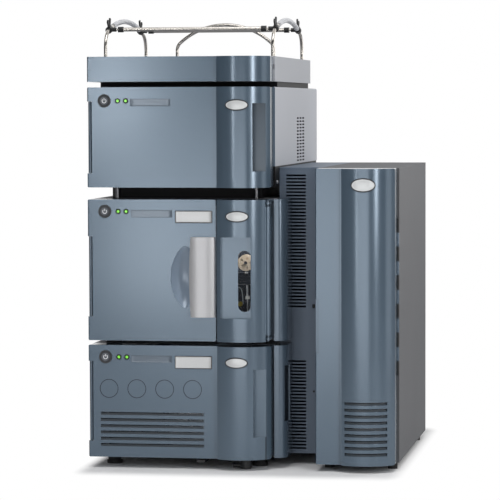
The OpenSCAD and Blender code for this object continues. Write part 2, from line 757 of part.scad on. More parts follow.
// Flat door with a scoop for the fingers beside the handle
module sample_door() {
    zh = handle_z - tall_hinge_h / 2;
    color([0.45, 0.5, 0.55]) placed() translate([0, 0, sampler_z]) difference() {
        union() {
            intersection() {
                difference() {
                    linear_extrude(sampler_h) leaf_outline(sample_door_w);
                    slab(door_wall, sample_door_w - door_wall, door_wall, door_t + over,
                         door_wall, sampler_h - door_wall);
                }
                rounded_face(sample_door_w, sampler_h, corner_r);
            }
            hinge_walls(zh, tall_hinge_h);
            intersection() {
                scoop(door_wall);
                slab(door_wall, sample_door_w - door_wall, 1, door_t - over, door_wall, sampler_h - door_wall);
            }
        }
        scoop(0);
        hinge_cut(zh, tall_hinge_h);
        control_holes(sampler_h - control_drop);
    }
}

// A turned hollow whose mouth in the door's face is an upright oval
module scoop(grow) {
    front = 8;
    reach = sqrt(scoop_w * scoop_w + front * front);
    sag = reach - front;
    arc_r = (scoop_h * scoop_h + sag * sag) / (2 * sag);
    translate([sample_door_w - handle_w - 9, -front, handle_z]) rotate_extrude()
        intersection() {
            translate([reach - arc_r, 0]) circle(arc_r + grow, $fn = 96);
            translate([0, -scoop_h - 4]) square([2 * scoop_w, 2 * scoop_h + 8]);
        }
}

// Bowed metal pull, closed at its ends and open towards the scoop
module door_handle() {
    metal = 2.5;
    x0 = sample_door_w - 0.5 - handle_w;
    edge_bow = 816;
    z0 = sampler_z + handle_z - handle_h / 2;
    color([0.86, 0.86, 0.87]) placed() intersection() {
        translate([0, 0, z0]) {
            linear_extrude(handle_h) difference() {
                pull_outline(0);
                pull_outline(metal);
            }
            linear_extrude(metal) pull_outline(metal - 0.5);
            translate([0, 0, handle_h - metal]) linear_extrude(metal) pull_outline(metal - 0.5);
        }
        bar_y(x0 + edge_bow, z0 + handle_h / 2, edge_bow, -20, 20, $fn = 720);
    }
}

// Shallow arc of the pull between the door's face and its crest
module pull_outline(inset) {
    bow_r = 60;
    crest = 10;
    x1 = sample_door_w - 0.5;
    intersection() {
        translate([x1 - 31, bow_r - crest]) circle(bow_r - inset);
        translate([x1 - handle_w - 3, -crest - 1]) square([handle_w + 3, crest + 1]);
    }
}

module sampler_power_button() power_button(sampler_z + sampler_h - control_drop);
module sampler_status_lamps() status_lamps(sampler_z + sampler_h - control_drop);

panel_x = [crease_x + 7, crease_x + 63.5];  // recessed panel of the fluidics door
panel_y = -2;
panel_z = [handle_z - 75, handle_z + 74];
window_x = crease_x + 38;
window_z = 55;

// Rounded door with a recessed panel, an upright window and a hinge barrel at its right
module fluidics_door()
    color([0.42, 0.47, 0.53]) placed() translate([0, 0, sampler_z]) difference() {
        union() {
            difference() {
                linear_extrude(sampler_h) column_outline(fluid_w, crease_x);
                translate([0, 0, door_wall]) linear_extrude(sampler_h - 2 * door_wall)
                    column_outline(fluid_w, crease_x, door_wall);
            }
            column_backing(fluid_w, sampler_h, crease_x, panel_x[0], panel_x[1], panel_y, panel_z[0], panel_z[1]);
            bar_z(fluid_axis.x, fluid_axis.y, barrel_r, barrel_end, sampler_h - barrel_end);
            slab(fluid_w - door_wall, fluid_axis.x, 1, 5, barrel_end, sampler_h - barrel_end);
        }
        translate([0, 0, -over]) linear_extrude(sampler_h + 2 * over)
            polygon([[crease_x - over, 20], [crease_x, 20], [crease_x + 23, 43], [crease_x - over, 43]]);
        slab(panel_x[0], panel_x[1], -col_rise - over, panel_y, panel_z[0], panel_z[1]);
        window_shape(0, panel_y - over, panel_y + door_wall + over);
        bar_z(fluid_axis.x, fluid_axis.y, 1.8 + run_fit, -over, sampler_h + over);
    }

// Upright slot with round ends
module window_shape(grow, y0, y1) {
    r = window_w / 2 + grow;
    x = window_x + window_w / 2;
    slab(x - r, x + r, y0, y1, window_z + window_w / 2, window_z + window_h - window_w / 2);
    for (z = [window_z + window_w / 2, window_z + window_h - window_w / 2]) bar_y(x, z, r, y0, y1);
}

module fluidics_window()
    color([0.75, 0.8, 0.85, 0.3]) placed() translate([0, 0, sampler_z])
        window_shape(4, panel_y + door_wall, panel_y + door_wall + 2);

// Long pin of the fluidics door and the two brackets that hold it
module fluidics_hinge()
    color([0.7, 0.72, 0.74]) placed() {
        bar_z(fluid_axis.x, fluid_axis.y, 1.8, sampler_z + 1, sampler_z + sampler_h - 1);
        for (z = [sampler_z + 4, sampler_z + sampler_h - 8]) {
            bar_z(fluid_axis.x, fluid_axis.y, 4, z, z + 4);
            slab(fluid_axis.x - 3.5, fluid_axis.x + 4, fluid_axis.y, cab_y, z, z + 4);
        }
    }

guide_xs = [needle_at.x - 22, needle_at.x + 22];
guide_y = 112;
guide_plate_y = 126;
rod = 3;
needle_r = 1.2;
seat_z = valve_z + valve_h + 3;

// Upright plate with two guide rods, the pulley's shaft and the needle's eyelet
module needle_guide() {
    z0 = sampler_z + plate_t;
    blocks = [sampler_z + 58, sampler_z + sampler_h - 38];
    eyelet_z = seat_z + 2;
    color([0.3, 0.32, 0.36]) placed() {
        slab(guide_xs[0] - 12, guide_xs[1] + 12, guide_plate_y, guide_plate_y + 4, z0, sampler_z + sampler_h - 22);
        slab(guide_xs[0] - 12, guide_xs[1] + 12, guide_plate_y + 4, guide_plate_y + 34, z0, z0 + 4);
        for (z = blocks) slab(guide_xs[0] - 8, guide_xs[1] + 8, guide_y - 8, guide_plate_y, z, z + 8);
        for (x = guide_xs) bar_z(x, guide_y, rod, blocks[0] + 8, blocks[1]);
        bar_y(needle_at.x - 2, pulley_z, rod, needle_at.y - 10, guide_plate_y);
        difference() {
            slab(needle_at.x - 4, needle_at.x + 4, needle_at.y - 4, guide_plate_y, eyelet_z, eyelet_z + 4);
            bar_z(needle_at.x, needle_at.y, needle_r + loose_fit, eyelet_z - over, eyelet_z + 4 + over);
        }
    }
}

// Carriage on the guide rods with the needle and its holder
module needle_carriage() {
    z0 = sampler_z + 98;
    z1 = sampler_z + 120;
    color([0.78, 0.78, 0.76]) placed() difference() {
        union() {
            slab(guide_xs[0] - 8, guide_xs[1] + 8, guide_y - 8, guide_y + 8, z0, z1);
            slab(needle_at.x - 7, needle_at.x + 7, needle_at.y - 6, guide_y - 8, z0 + 2, z1 - 2);
            bar_z(needle_at.x, needle_at.y, 5, z0 + 2, z1 + 3);
            bar_z(needle_at.x, needle_at.y, 2.4, z0 - 20, z0 + 2);
            bar_z(needle_at.x, needle_at.y, 4, z0 - 26, z0 - 20);
            bar_z(needle_at.x, needle_at.y, needle_r, seat_z + 4, z0 - 20);
        }
        for (x = guide_xs) bar_z(x, guide_y, rod + run_fit, z0 - over, z1 + over);
    }
}

// Grooved pulley of the needle drive
module needle_pulley()
    color([0.72, 0.66, 0.56]) placed() difference() {
        union() {
            bar_y(needle_at.x - 2, pulley_z, pulley_r, needle_at.y - 9, needle_at.y - 5);
            bar_y(needle_at.x - 2, pulley_z, pulley_r - 3, needle_at.y - 9, needle_at.y + 4);
            bar_y(needle_at.x - 2, pulley_z, pulley_r, needle_at.y, needle_at.y + 4);
        }
        bar_y(needle_at.x - 2, pulley_z, rod + run_fit, needle_at.y - 10, needle_at.y + 5);
        for (i = [0:4]) rotate_about_pulley(72 * i) bar_y(needle_at.x + 6.5, pulley_z, 2, needle_at.y - 10, needle_at.y - 6);
    }

module rotate_about_pulley(turn)
    translate([needle_at.x - 2, 0, pulley_z]) rotate([0, turn, 0]) translate([2 - needle_at.x, 0, -pulley_z]) children();

// Injection valve with a needle seat on top and a ring of tube ports in front
module injection_valve() {
    x = needle_at.x;
    z = valve_z + valve_h / 2;
    color([0.6, 0.61, 0.62]) placed() difference() {
        union() {
            slab(x - 24, x + 24, needle_at.y - 16, guide_plate_y, valve_z, valve_z + valve_h);
            bar_y(x, z, 15, needle_at.y - 30, needle_at.y - 16);
            bar_z(x, needle_at.y, 7, valve_z + valve_h, seat_z);
            for (dx = [-24, 14])
                slab(x + dx, x + dx + 10, needle_at.y - 10, guide_plate_y, sampler_z + plate_t, valve_z);
        }
        bar_z(x, needle_at.y, 2.5, valve_z + 8, seat_z + over);
        for (i = [0:5]) translate([x, 0, z]) rotate([0, 60 * i, 0])
            bar_y(9.5, 0, 2.2, needle_at.y - 30 - over, needle_at.y - 22);
    }
}

module sampler_fan() fan_rotor(fan_x, sampler_z + sampler_h / 2, rear_y);

// Rounded cheeks on the right of the sampler and the pump, the lower one with a hand slot
module side_cheeks() {
    x0 = module_w;
    y0 = 27;
    round_r = 19;
    color([0.4, 0.45, 0.5]) placed() {
        cheek(x0, y0, round_r, sampler_z, sampler_h);
        difference() {
            cheek(x0, y0, round_r, pump_z, pump_h);
            slab(x0 + cheek_w - 5, x0 + cheek_w + over, y0 - over, y0 + 40, pump_z + 67, pump_z + 170);
        }
    }
}

module cheek(x0, y0, r, z, h) {
    wall = 2.5;
    translate([x0, 0, z]) difference() {
        linear_extrude(h) cheek_outline(y0, r, 0, duct_y - 2);
        translate([0, 0, wall]) linear_extrude(h - 2 * wall) cheek_outline(y0, r, wall, duct_y - 2 - wall);
    }
}

module cheek_outline(y0, r, inset, y1) {
    translate([inset, y0 + inset]) square([cheek_w - r - inset, y1 - y0 - inset]);
    translate([inset, y0 + r]) square([cheek_w - 2 * inset, y1 - y0 - r]);
    intersection() {
        translate([cheek_w - r, y0 + r]) circle(r - inset);
        translate([inset, y0]) square([cheek_w, r]);
    }
}

// ---------------------------------------------------------------- pump

module pump_chassis()
    color([0.3, 0.31, 0.33]) placed() chassis_pan(pump_z, pump_z + pump_h, 20);

module pump_cover()
    color([0.66, 0.68, 0.7]) placed() wrap_cover(pump_z + plate_t, pump_z + pump_h);

plug_z = 127;
plug_x = 38.7;
slot_x = [23, crease_x - 27];
slot_z = 20;

// Door with four round plugs and a block of air slots
module pump_door()
    color([0.45, 0.5, 0.55]) placed() translate([0, 0, pump_z]) difference() {
        column_door(pump_h, tall_hinge_h);
        control_holes(pump_h - control_drop);
        for (i = [0:3]) bar_y(plug_x + plug_pitch * i, plug_z, plug_r + plug_gap, -over, door_wall + over);
        for (i = [0:pump_slots - 1]) translate([0, 0, slot_z + slot_pitch * i]) {
            slab(slot_x[0], slot_x[1], -over, groove_d, 0, slot_h);
            slab(slot_x[0], slot_x[1], -over, door_wall + over, slot_h - slit_h, slot_h);
        }
    }

// Flush round plugs, each with a flange behind the wall
module door_plugs()
    color([0.42, 0.47, 0.53]) placed() for (i = [0:3]) {
        bar_y(plug_x + plug_pitch * i, pump_z + plug_z, plug_r, 0.3, door_wall);
        bar_y(plug_x + plug_pitch * i, pump_z + plug_z, plug_r + plug_gap + 2, door_wall, door_wall + 2);
    }

module pump_power_button() power_button(pump_z + pump_h - control_drop);
module pump_status_lamps() status_lamps(pump_z + pump_h - control_drop);

head_xs = [crease_x - 65, crease_x - 1];
head_z = pump_z + 92;

// Front wall of the pump, with round openings for the heads and the valve's pin
module pump_bulkhead()
    color([0.62, 0.64, 0.66]) placed() difference() {
        union() {
            slab(sheet + plate_t, module_w - sheet - plate_t, bulkhead_y, bulkhead_y + plate_t,
                 pump_z + plate_t, pump_z + pump_h - sheet);
            slab(sheet + plate_t, module_w - sheet - plate_t, bulkhead_y, bulkhead_y + 14,
                 pump_z + plate_t, pump_z + 2 * plate_t);
            bar_y(knob_at.x, knob_at.y, 12, bulkhead_y - 10, bulkhead_y);
            bar_y(knob_at.x, knob_at.y, knob_pin_r, bulkhead_y - 28, bulkhead_y - 10);
        }
        for (x = head_xs) bar_y(x, head_z, 22 + loose_fit, bulkhead_y - over, bulkhead_y + plate_t + over);
    }

// Two piston heads with check valves above and below
module pump_heads()
    color([0.8, 0.8, 0.81]) placed() for (x = head_xs) difference() {
        union() {
            bar_y(x, head_z, 22, bulkhead_y, bulkhead_y + 60);
            bar_y(x, head_z, 27, bulkhead_y - 30, bulkhead_y);
            bar_y(x, head_z, 18, bulkhead_y - 38, bulkhead_y - 30);
            for (dir = [-1, 1]) translate([x, bulkhead_y - 16, head_z]) scale([1, 1, dir]) {
                translate([0, 0, 20]) cylinder(r = 8, h = 20);
                translate([0, 0, 40]) cylinder(r = 6.5, h = 8, $fn = 6);
            }
        }
        for (i = [0:3]) translate([x, 0, head_z]) rotate([0, 45 + 90 * i, 0])
            bar_y(13, 0, 2.4, bulkhead_y - 39, bulkhead_y - 33);
    }

// Degasser box with two rows of tube ports
module degasser() {
    box_x = [26, head_xs[0] - 46];
    pitch = (box_x[1] - box_x[0] - 32.5) / 3;
    color([0.36, 0.38, 0.41]) placed() {
        difference() {
            slab(box_x[0], box_x[1], bulkhead_y - 42, bulkhead_y, pump_z + plate_t, pump_z + 110);
            for (i = [0:3], k = [0, 1])
                bar_y(box_x[0] + 16 + pitch * i, pump_z + 44 + 40 * k, 3, bulkhead_y - 43, bulkhead_y - 34);
        }
        for (i = [0:3], k = [0, 1]) translate([box_x[0] + 16 + pitch * i, 0, pump_z + 44 + 40 * k]) difference() {
            bar_y(0, 0, 6, bulkhead_y - 48, bulkhead_y - 42);
            bar_y(0, 0, 3, bulkhead_y - 49, bulkhead_y - 41);
        }
    }
}

// Fluted knob of the prime valve
module prime_valve_knob() {
    knob_r = 17;
    color([0.1, 0.1, 0.11]) placed() difference() {
        bar_y(knob_at.x, knob_at.y, knob_r, bulkhead_y - 34, bulkhead_y - 10.3);
        bar_y(knob_at.x, knob_at.y, knob_pin_r + run_fit, bulkhead_y - 28.3, bulkhead_y - 10);
        for (i = [0:9]) translate([knob_at.x, 0, knob_at.y]) rotate([0, 36 * i, 0])
            bar_y(knob_r + 1.4, 0, 3, bulkhead_y - 34 - over, bulkhead_y - 14);
    }
}

module pump_fan() fan_rotor(fan_x, pump_z + pump_h / 2, rear_y);

// Shallow leak tray under the pump with a pull tab and a ribbed drain fitting
module drip_tray() {
    z1 = pump_z;
    drain = [module_w - 51, 18];
    tray_x = [head_xs[0] - 28, module_w - 31];
    color([0.08, 0.08, 0.09]) placed() {
        difference() {
            slab(tray_x[0], tray_x[1], cab_y + 12, 240, z1 - 7, z1);
            slab(tray_x[0] + 3, tray_x[1] - 3, cab_y + 15, 237, z1 - 5, z1 + over);
            bar_z(module_w - 34, 70, foot_r + 2, z1 - 8, z1 + over);
        }
        slab(crease_x - 41, crease_x - 26, 4, cab_y + 12, z1 - 8, z1 - 3);
        slab(drain.x - 9, drain.x + 1, drain.y, cab_y + 12, z1 - 7, z1 - 3);
        for (i = [0:3]) bar_z(drain.x, drain.y, i % 2 == 0 ? 11 : 10, 1.5 + 3 * i, 4.5 + 3 * i);
        bar_z(drain.x, drain.y, 10, 13.5, z1 - 3);
        bar_x(drain.y, 6.5, 4.5, drain.x - 24, drain.x - 8);
    }
}

// ---------------------------------------------------------------- column heater

heater_rear_y = heater_d - plate_t;
heater_fan_z = heater_foot_h + 90;

// Folded case of the heater, open at the front
module heater_case()
    color([0.62, 0.63, 0.65]) placed() difference() {
        slab(heater_x, heater_x + heater_w, cab_y, heater_d, heater_foot_h, heater_top);
        slab(heater_x + sheet, heater_x + heater_w - sheet, cab_y + sheet, heater_rear_y,
             heater_foot_h + plate_t, heater_top - sheet);
        slab(heater_x + flange, heater_x + heater_w - flange, cab_y - over, cab_y + 2 * sheet,
             heater_foot_h + flange, heater_top - flange);
        fan_guard(heater_x + heater_w / 2, heater_fan_z, heater_rear_y);
        for (i = [0:11]) slab(heater_x + 30, heater_x + heater_w - 30, heater_rear_y - over, heater_d + over,
                              heater_top - 120 + 7 * i, heater_top - 117 + 7 * i);
        hinge_relief(0, 1);
    }

// Clearance round knuckles of the long hinge
module hinge_relief(first, step) {
    pitch = heater_hinge_h / knuckles;
    for (i = [first:step:knuckles - 1])
        bar_z(heater_axis.x, heater_axis.y, knuckle_r + 0.5, heater_hinge_z + pitch * i - 0.4,
              heater_hinge_z + pitch * (i + 1) + 0.4);
}

module hinge_knuckles(first, step) {
    pitch = heater_hinge_h / knuckles;
    for (i = [first:step:knuckles - 1])
        bar_z(heater_axis.x, heater_axis.y, knuckle_r, heater_hinge_z + pitch * i + 0.3,
              heater_hinge_z + pitch * (i + 1) - 0.3);
}

// Fixed knuckles, pin and leaf of the heater's long hinge
module heater_hinge() {
    pitch = heater_hinge_h / knuckles;
    z1 = heater_hinge_z + heater_hinge_h - 0.3;
    color([0.5, 0.5, 0.52]) placed() {
        hinge_knuckles(0, 2);
        bar_z(heater_axis.x, heater_axis.y, 1.2, heater_hinge_z + 0.3, z1);
        slab(heater_axis.x - 15, heater_axis.x - knuckle_r - 1, cab_y - 1, cab_y, heater_hinge_z + 0.3, z1);
        for (i = [0:2:knuckles - 1])
            slab(heater_axis.x - knuckle_r - 2, heater_axis.x - 1, cab_y - 1, cab_y,
                 heater_hinge_z + pitch * i + 0.3, heater_hinge_z + pitch * (i + 1) - 0.3);
    }
}

// Tall door with a groove beside its column, air slots, a finger pocket and hinge knuckles
module heater_door() {
    pull_z = [205, 303];
    groove_x = heater_crease - 4.5;
    lx = heater_axis.x - heater_x;
    color([0.45, 0.5, 0.55]) placed() difference() {
        union() {
            translate([heater_x, 0, heater_foot_h]) difference() {
                union() {
                    door_shell(heater_door_w, heater_h, heater_crease);
                    slab(1, 12, 1, 12, pull_z[0] - door_wall, pull_z[1] + door_wall);
                }
                slab(groove_x, groove_x + 1.5, -over, 1.5, -over, heater_h + over);
                slab(-over, 7, -over, 8, pull_z[0], pull_z[1]);
                for (i = [0:heater_slots - 1]) translate([0, 0, 18 + slot_pitch * i]) {
                    slab(heater_crease + 6, heater_crease + 83, -col_rise - over, 14, slot_h - slit_h, slot_h);
                    difference() {
                        slab(heater_crease + 6, heater_crease + 83, -col_rise - over, 14, 0, slot_h);
                        translate([0, 0, -over]) linear_extrude(slot_h + 2 * over)
                            column_outline(heater_door_w, heater_crease, groove_d);
                    }
                }
            }
            hinge_knuckles(1, 2);
        }
        hinge_relief(0, 2);
        bar_z(heater_axis.x, heater_axis.y, 1.2 + run_fit, heater_hinge_z - over, heater_hinge_z + heater_hinge_h + over);
    }
}

// Louvred air duct between the stack and the heater
module heater_side_duct() {
    x0 = module_w;
    z0 = heater_foot_h + 7;
    z1 = heater_top;
    louvre = [355.5, 392, 3.3];
    color([0.4, 0.44, 0.49]) placed() difference() {
        slab(x0, heater_x, duct_y, heater_d, z0, z1);
        slab(x0 + sheet, heater_x - sheet, duct_y + sheet, heater_d - plate_t, z0 + plate_t, z1 - 3);
        slab(x0 - over, heater_x + over, duct_y - over, duct_y + 1, z1 - 4, z1 - 3);
        for (i = [0:upper_louvres - 1])
            slab(louvre[0], louvre[1], duct_y - over, duct_y + 2 * over,
                 z1 - 16.5 - louvre_pitch * i, z1 - 16.5 + louvre[2] - louvre_pitch * i);
        for (i = [0:lower_louvres - 1])
            slab(louvre[0], louvre[1], duct_y - over, duct_y + 2 * over,
                 z0 + 8 + louvre_pitch * i, z0 + 8 + louvre[2] + louvre_pitch * i);
    }
}

trough_x = [heater_x + 26, heater_x + heater_w - 26];
column_xs = [heater_x + heater_w / 2 - 18, heater_x + heater_w / 2 + 18];
column_l = heater_h - 290;

// Heated trough with sprung column clips
module column_trough() {
    y0 = cab_y + 4;
    wall = 5;
    z0 = heater_foot_h + 60;
    z1 = heater_top - 40;
    color([0.75, 0.76, 0.77]) placed() {
        difference() {
            slab(trough_x[0], trough_x[1], y0, y0 + 110, z0, z1);
            slab(trough_x[0] + wall, trough_x[1] - wall, y0 - over, y0 + 110 - wall, z0 + wall, z1 - wall);
        }
        slab(heater_x + sheet, trough_x[0], y0 + 40, y0 + 44, z0, z1);
        slab(trough_x[1], heater_x + heater_w - sheet, y0 + 40, y0 + 44, z0, z1);
        for (x = column_xs, z = [z0 + 110, z0 + column_l + 40]) difference() {
            slab(x - 13, x + 13, y0 + 45, y0 + 110 - wall, z, z + 12);
            bar_z(x, y0 + 56, 8 + loose_fit, z - over, z + 12 + over);
            slab(x - 6, x + 6, y0 + 40, y0 + 56, z - over, z + 12 + over);
        }
    }
}

// Two separation columns with end fittings
module columns()
    color([0.8, 0.8, 0.82]) placed() for (x = column_xs) translate([x, cab_y + 60, heater_foot_h + 130]) {
        cylinder(r = 8, h = column_l);
        for (z = [0, column_l - 16]) translate([0, 0, z]) cylinder(r = 11, h = 16, $fn = 6);
        for (z = [-12, column_l]) translate([0, 0, z]) cylinder(r = 4, h = 12);
    }

module heater_fan() fan_rotor(heater_x + heater_w / 2, heater_fan_z, heater_rear_y);

// ---------------------------------------------------------------- shared hardware

// Rubber feet of pump and heater, and the pads between pump and sampler
module rubber_feet()
    color([0.06, 0.06, 0.06]) placed() {
        for (x = [34, module_w - 34], y = [70, module_d - 50]) {
            bar_z(x, y, foot_r, 0, 6);
            bar_z(x, y, foot_r - 2, 6, foot_h);
            bar_z(x, y, foot_r, sampler_z - pad_h, sampler_z);
        }
        for (x = [heater_x + 18, heater_x + heater_w - 14], y = [62, heater_d - 60])
            bar_z(x, y, 9, 0, heater_foot_h);
    }

module door_hinges()
    color([0.42, 0.47, 0.53]) placed() {
        left_hinge(detector_z + (detector_h - detector_hinge_h) / 2, detector_hinge_h);
        left_hinge(sampler_z + handle_z - tall_hinge_h / 2, tall_hinge_h);
        left_hinge(pump_z + (pump_h - tall_hinge_h) / 2, tall_hinge_h);
    }

module fan_frames()
    color([0.08, 0.08, 0.09]) placed() {
        for (z = [detector_z + detector_h / 2, sampler_z + sampler_h / 2, pump_z + pump_h / 2])
            fan_frame(fan_x, z, rear_y);
        fan_frame(heater_x + heater_w / 2, heater_fan_z, heater_rear_y);
    }

module rear_connectors()
    color([0.1, 0.1, 0.1]) placed()
        for (z = [detector_z + detector_h / 2, sampler_z + sampler_h / 2, pump_z + pump_h / 2]) rear_sockets(z);

tray_fascia();
tray_pan();
tray_plinth();
rail_arches();
rail_rear_hoop();
rail_crossbars();
rail_clamps();
rail_sleeves();
detector_chassis();
detector_cover();
detector_bulkhead();
detector_door();
detector_power_button();
detector_status_lamps();
lamp_housing();
flow_cell();
detector_fan();
detector_feet();
sampler_chassis();
sampler_cover();
sampler_bulkhead();
sample_compartment();
sample_door();
door_handle();
sampler_power_button();
sampler_status_lamps();
fluidics_door();
fluidics_window();
fluidics_hinge();
vial_carousel();
vials();
needle_guide();
needle_carriage();
needle_pulley();
injection_valve();
sampler_fan();
side_cheeks();
pump_chassis();
pump_cover();
pump_bulkhead();
pump_door();
pump_power_button();
pump_status_lamps();
door_plugs();
pump_heads();
degasser();
prime_valve_knob();
pump_fan();
drip_tray();
heater_case();
heater_side_duct();
heater_door();
heater_hinge();
column_trough();
columns();
heater_fan();
rubber_feet();
door_hinges();
fan_frames();
rear_connectors();
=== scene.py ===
"""Dresses the liquid chromatography stack: lights, camera, finishes and the trim on its doors."""
import math

import bmesh
import bpy
from mathutils import Matrix, Vector


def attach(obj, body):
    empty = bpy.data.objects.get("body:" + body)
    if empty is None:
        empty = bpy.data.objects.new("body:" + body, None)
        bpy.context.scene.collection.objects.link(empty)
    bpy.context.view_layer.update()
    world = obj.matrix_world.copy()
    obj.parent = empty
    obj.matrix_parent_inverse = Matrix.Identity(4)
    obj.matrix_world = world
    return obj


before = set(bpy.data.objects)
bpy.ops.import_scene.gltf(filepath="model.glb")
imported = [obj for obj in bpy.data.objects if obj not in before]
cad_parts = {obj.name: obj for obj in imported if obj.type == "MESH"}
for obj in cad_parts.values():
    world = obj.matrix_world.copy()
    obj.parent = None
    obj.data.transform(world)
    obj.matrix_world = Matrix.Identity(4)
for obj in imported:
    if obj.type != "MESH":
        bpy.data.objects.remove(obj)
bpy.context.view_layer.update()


# ---- Camera --------------------------------------------------------------------------------------
# A long lens a little to the right of the stack and level with the detector, turned slightly left
# and down, so that it sees the fronts almost square on.
eye = Vector((0.796, -5.095, 0.664))
turn_left, tip_down, roll = math.radians(9.218), math.radians(3.056), math.radians(-0.167)
camera_data = bpy.data.cameras.new("studio_camera")
camera_data.sensor_width = 36.0
camera_data.lens = 192.06
camera_data.clip_start, camera_data.clip_end = 0.1, 60.0
camera = bpy.data.objects.new("studio_camera", camera_data)
camera.matrix_world = (
    Matrix.Translation(eye)
    @ Matrix.Rotation(turn_left, 4, "Z")
    @ Matrix.Rotation(math.pi / 2 - tip_down, 4, "X")
    @ Matrix.Rotation(roll, 4, "Z")
)
bpy.context.collection.objects.link(camera)
scene = bpy.context.scene
scene.camera = camera
scene.view_settings.view_transform = "Standard"


# ---- Bench top and background --------------------------------------------------------------------
# A matt off-white bench top under the feet, which keeps the stack's soft shadow. Camera rays, and
# those that come through glass, see it fade to white away from the stack.
class Sock:
    """One output socket of a material, on which + - * < and > add Math nodes."""

    def __init__(self, finish, socket):
        self.finish, self.socket = finish, socket

    def math(self, operation, first, second):
        made = self.finish.node("Math", {"operation": operation}, {0: first, 1: second})
        return Sock(self.finish, made.outputs[0])

    def __add__(self, other):
        return self.math("ADD", self, other)

    def __sub__(self, other):
        return self.math("SUBTRACT", self, other)

    def __rsub__(self, other):
        return self.math("SUBTRACT", other, self)

    def __mul__(self, other):
        return self.math("MULTIPLY", self, other)

    def __lt__(self, other):
        return self.math("LESS_THAN", self, other)

    def __gt__(self, other):
        return self.math("GREATER_THAN", self, other)

    __radd__, __rmul__ = __add__, __mul__


class Finish:
    """A material or world under construction; node() adds and links one node."""

    def __init__(self, owner):
        owner.use_nodes = True
        self.owner, self.tree = owner, owner.node_tree
        self.tree.nodes.clear()

    def node(self, kind, settings=None, sockets=None):
        made = self.tree.nodes.new("ShaderNode" + kind)
        for name, value in (settings or {}).items():
            if name == "stops":
                ramp = made.color_ramp.elements
                while len(ramp) < len(value):
                    ramp.new(0.5)
                for stop, (place, colour) in zip(ramp, value):
                    stop.position, stop.color = place, (*colour, 1.0)
            else:
                setattr(made, name, value)
        for name, value in (sockets or {}).items():
            if isinstance(value, Sock):
                self.tree.links.new(value.socket, made.inputs[name])
            elif isinstance(value, bpy.types.NodeSocket):
                self.tree.links.new(value, made.inputs[name])
            else:
                made.inputs[name].default_value = value
        return made

    def out(self, kind, settings=None, sockets=None, output=0):
        """One output of a new node."""
        return Sock(self, self.node(kind, settings, sockets).outputs[output])

    def mix(self, factor, first, second):
        """A colour between two colours."""
        made = self.node("Mix", {"data_type": "RGBA"}, {0: factor, 6: first, 7: second})
        return Sock(self, made.outputs[2])

    def place(self, scale=(1.0, 1.0, 1.0)):
        """Object coordinates in metres, scaled."""
        where = self.out("TexCoord", output="Object")
        return self.out("Mapping", {}, {"Vector": where, "Scale": scale})

    def vector(self, operation, first, second, output=0):
        """Vector maths on two vectors; output 1 is the one that gives a number."""
        return self.out("VectorMath", {"operation": operation}, {0: first, 1: second}, output)

    def surface(self, shader):
        """Ends the material in a shader."""
        self.node("OutputMaterial", {}, {"Surface": shader})
        return self.owner


bench_half, stack_half, side_stretch = 9.0, (0.27, 0.33, 0.0), (2.4, 1.0, 1.0)
bench_corners = [(x * bench_half, y * bench_half, 0) for x, y in ((-1, -1), (1, -1), (1, 1), (-1, 1))]
bench_mesh = bpy.data.meshes.new("bench_top")
bench_mesh.from_pydata(bench_corners, [], [(0, 1, 2, 3)])
bench_top = bpy.data.objects.new("bench_top", bench_mesh)
bpy.context.collection.objects.link(bench_top)
bench = Finish(bpy.data.materials.new("bench_top"))
matt = bench.out("BsdfPrincipled", {}, {"Base Color": (0.86, 0.86, 0.86, 1), "Roughness": 0.7,
                                        "Specular IOR Level": 0.2})
glow = bench.out("Emission", {}, {"Color": (1, 1, 1, 1), "Strength": 1.0})
rays = bench.node("LightPath")
seen = bench.out("Math", {"operation": "MAXIMUM"}, {0: rays.outputs["Is Camera Ray"],
                                                   1: rays.outputs["Is Transmission Ray"]})
aside = bench.out("VectorMath", {"operation": "ABSOLUTE"}, {0: bench.place()})
past = bench.vector("MULTIPLY", bench.vector("SUBTRACT", aside, stack_half), side_stretch)
beyond = bench.vector("MAXIMUM", past, (0.0, 0.0, 0.0))
reach = bench.out("VectorMath", {"operation": "LENGTH"}, {0: beyond}, output=1)
fade = bench.out("MapRange", {"interpolation_type": "SMOOTHSTEP"},
                 {"Value": reach, "From Min": 0.005, "From Max": 0.088})
bench_top.data.materials.append(
    bench.surface(bench.out("MixShader", {}, {0: fade * seen, 1: matt, 2: glow}))
)

# The room: camera and glass rays see it white, mirror rays see it dim in front of the stack and white
# behind it, and matt surfaces get a low even light from it.
dim_front, white_rear = (0.035, 0.04, 0.045), (1.0, 1.0, 1.0)
world = Finish(bpy.data.worlds.new("studio"))
scene.world = world.owner
ahead = world.out("SeparateXYZ", {}, {0: world.out("TexCoord", output="Generated")}, output="Y")
mirrored = world.out("ValToRGB", {"stops": [(0.52, dim_front), (0.74, white_rear)]},
                     {0: ahead * 0.5 + 0.5})
light_path = world.node("LightPath")
direct = world.out("Math", {"operation": "MAXIMUM"}, {0: light_path.outputs["Is Camera Ray"],
                                                     1: light_path.outputs["Is Transmission Ray"]})
glossy = Sock(world, light_path.outputs["Is Glossy Ray"])
room = world.mix(direct, world.mix(glossy, (0.22, 0.22, 0.23, 1), mirrored), (1, 1, 1, 1))
backdrop = world.out("Background", {}, {"Color": room, "Strength": 1.0})
world.node("OutputWorld", {}, {"Surface": backdrop})


# ---- Studio lights -------------------------------------------------------------------------------
# Small softboxes at the left give the doors their sheen, and a wide dim one fills the front. Tall
# ones at the right, one over the bench and one behind at the right light the round columns and sides.
def around(azimuth, distance, height):
    """A place round the stack; azimuth 0 is straight in front and positive is to the right."""
    angle = math.radians(azimuth)
    return Vector((distance * math.sin(angle), -distance * math.cos(angle), height))


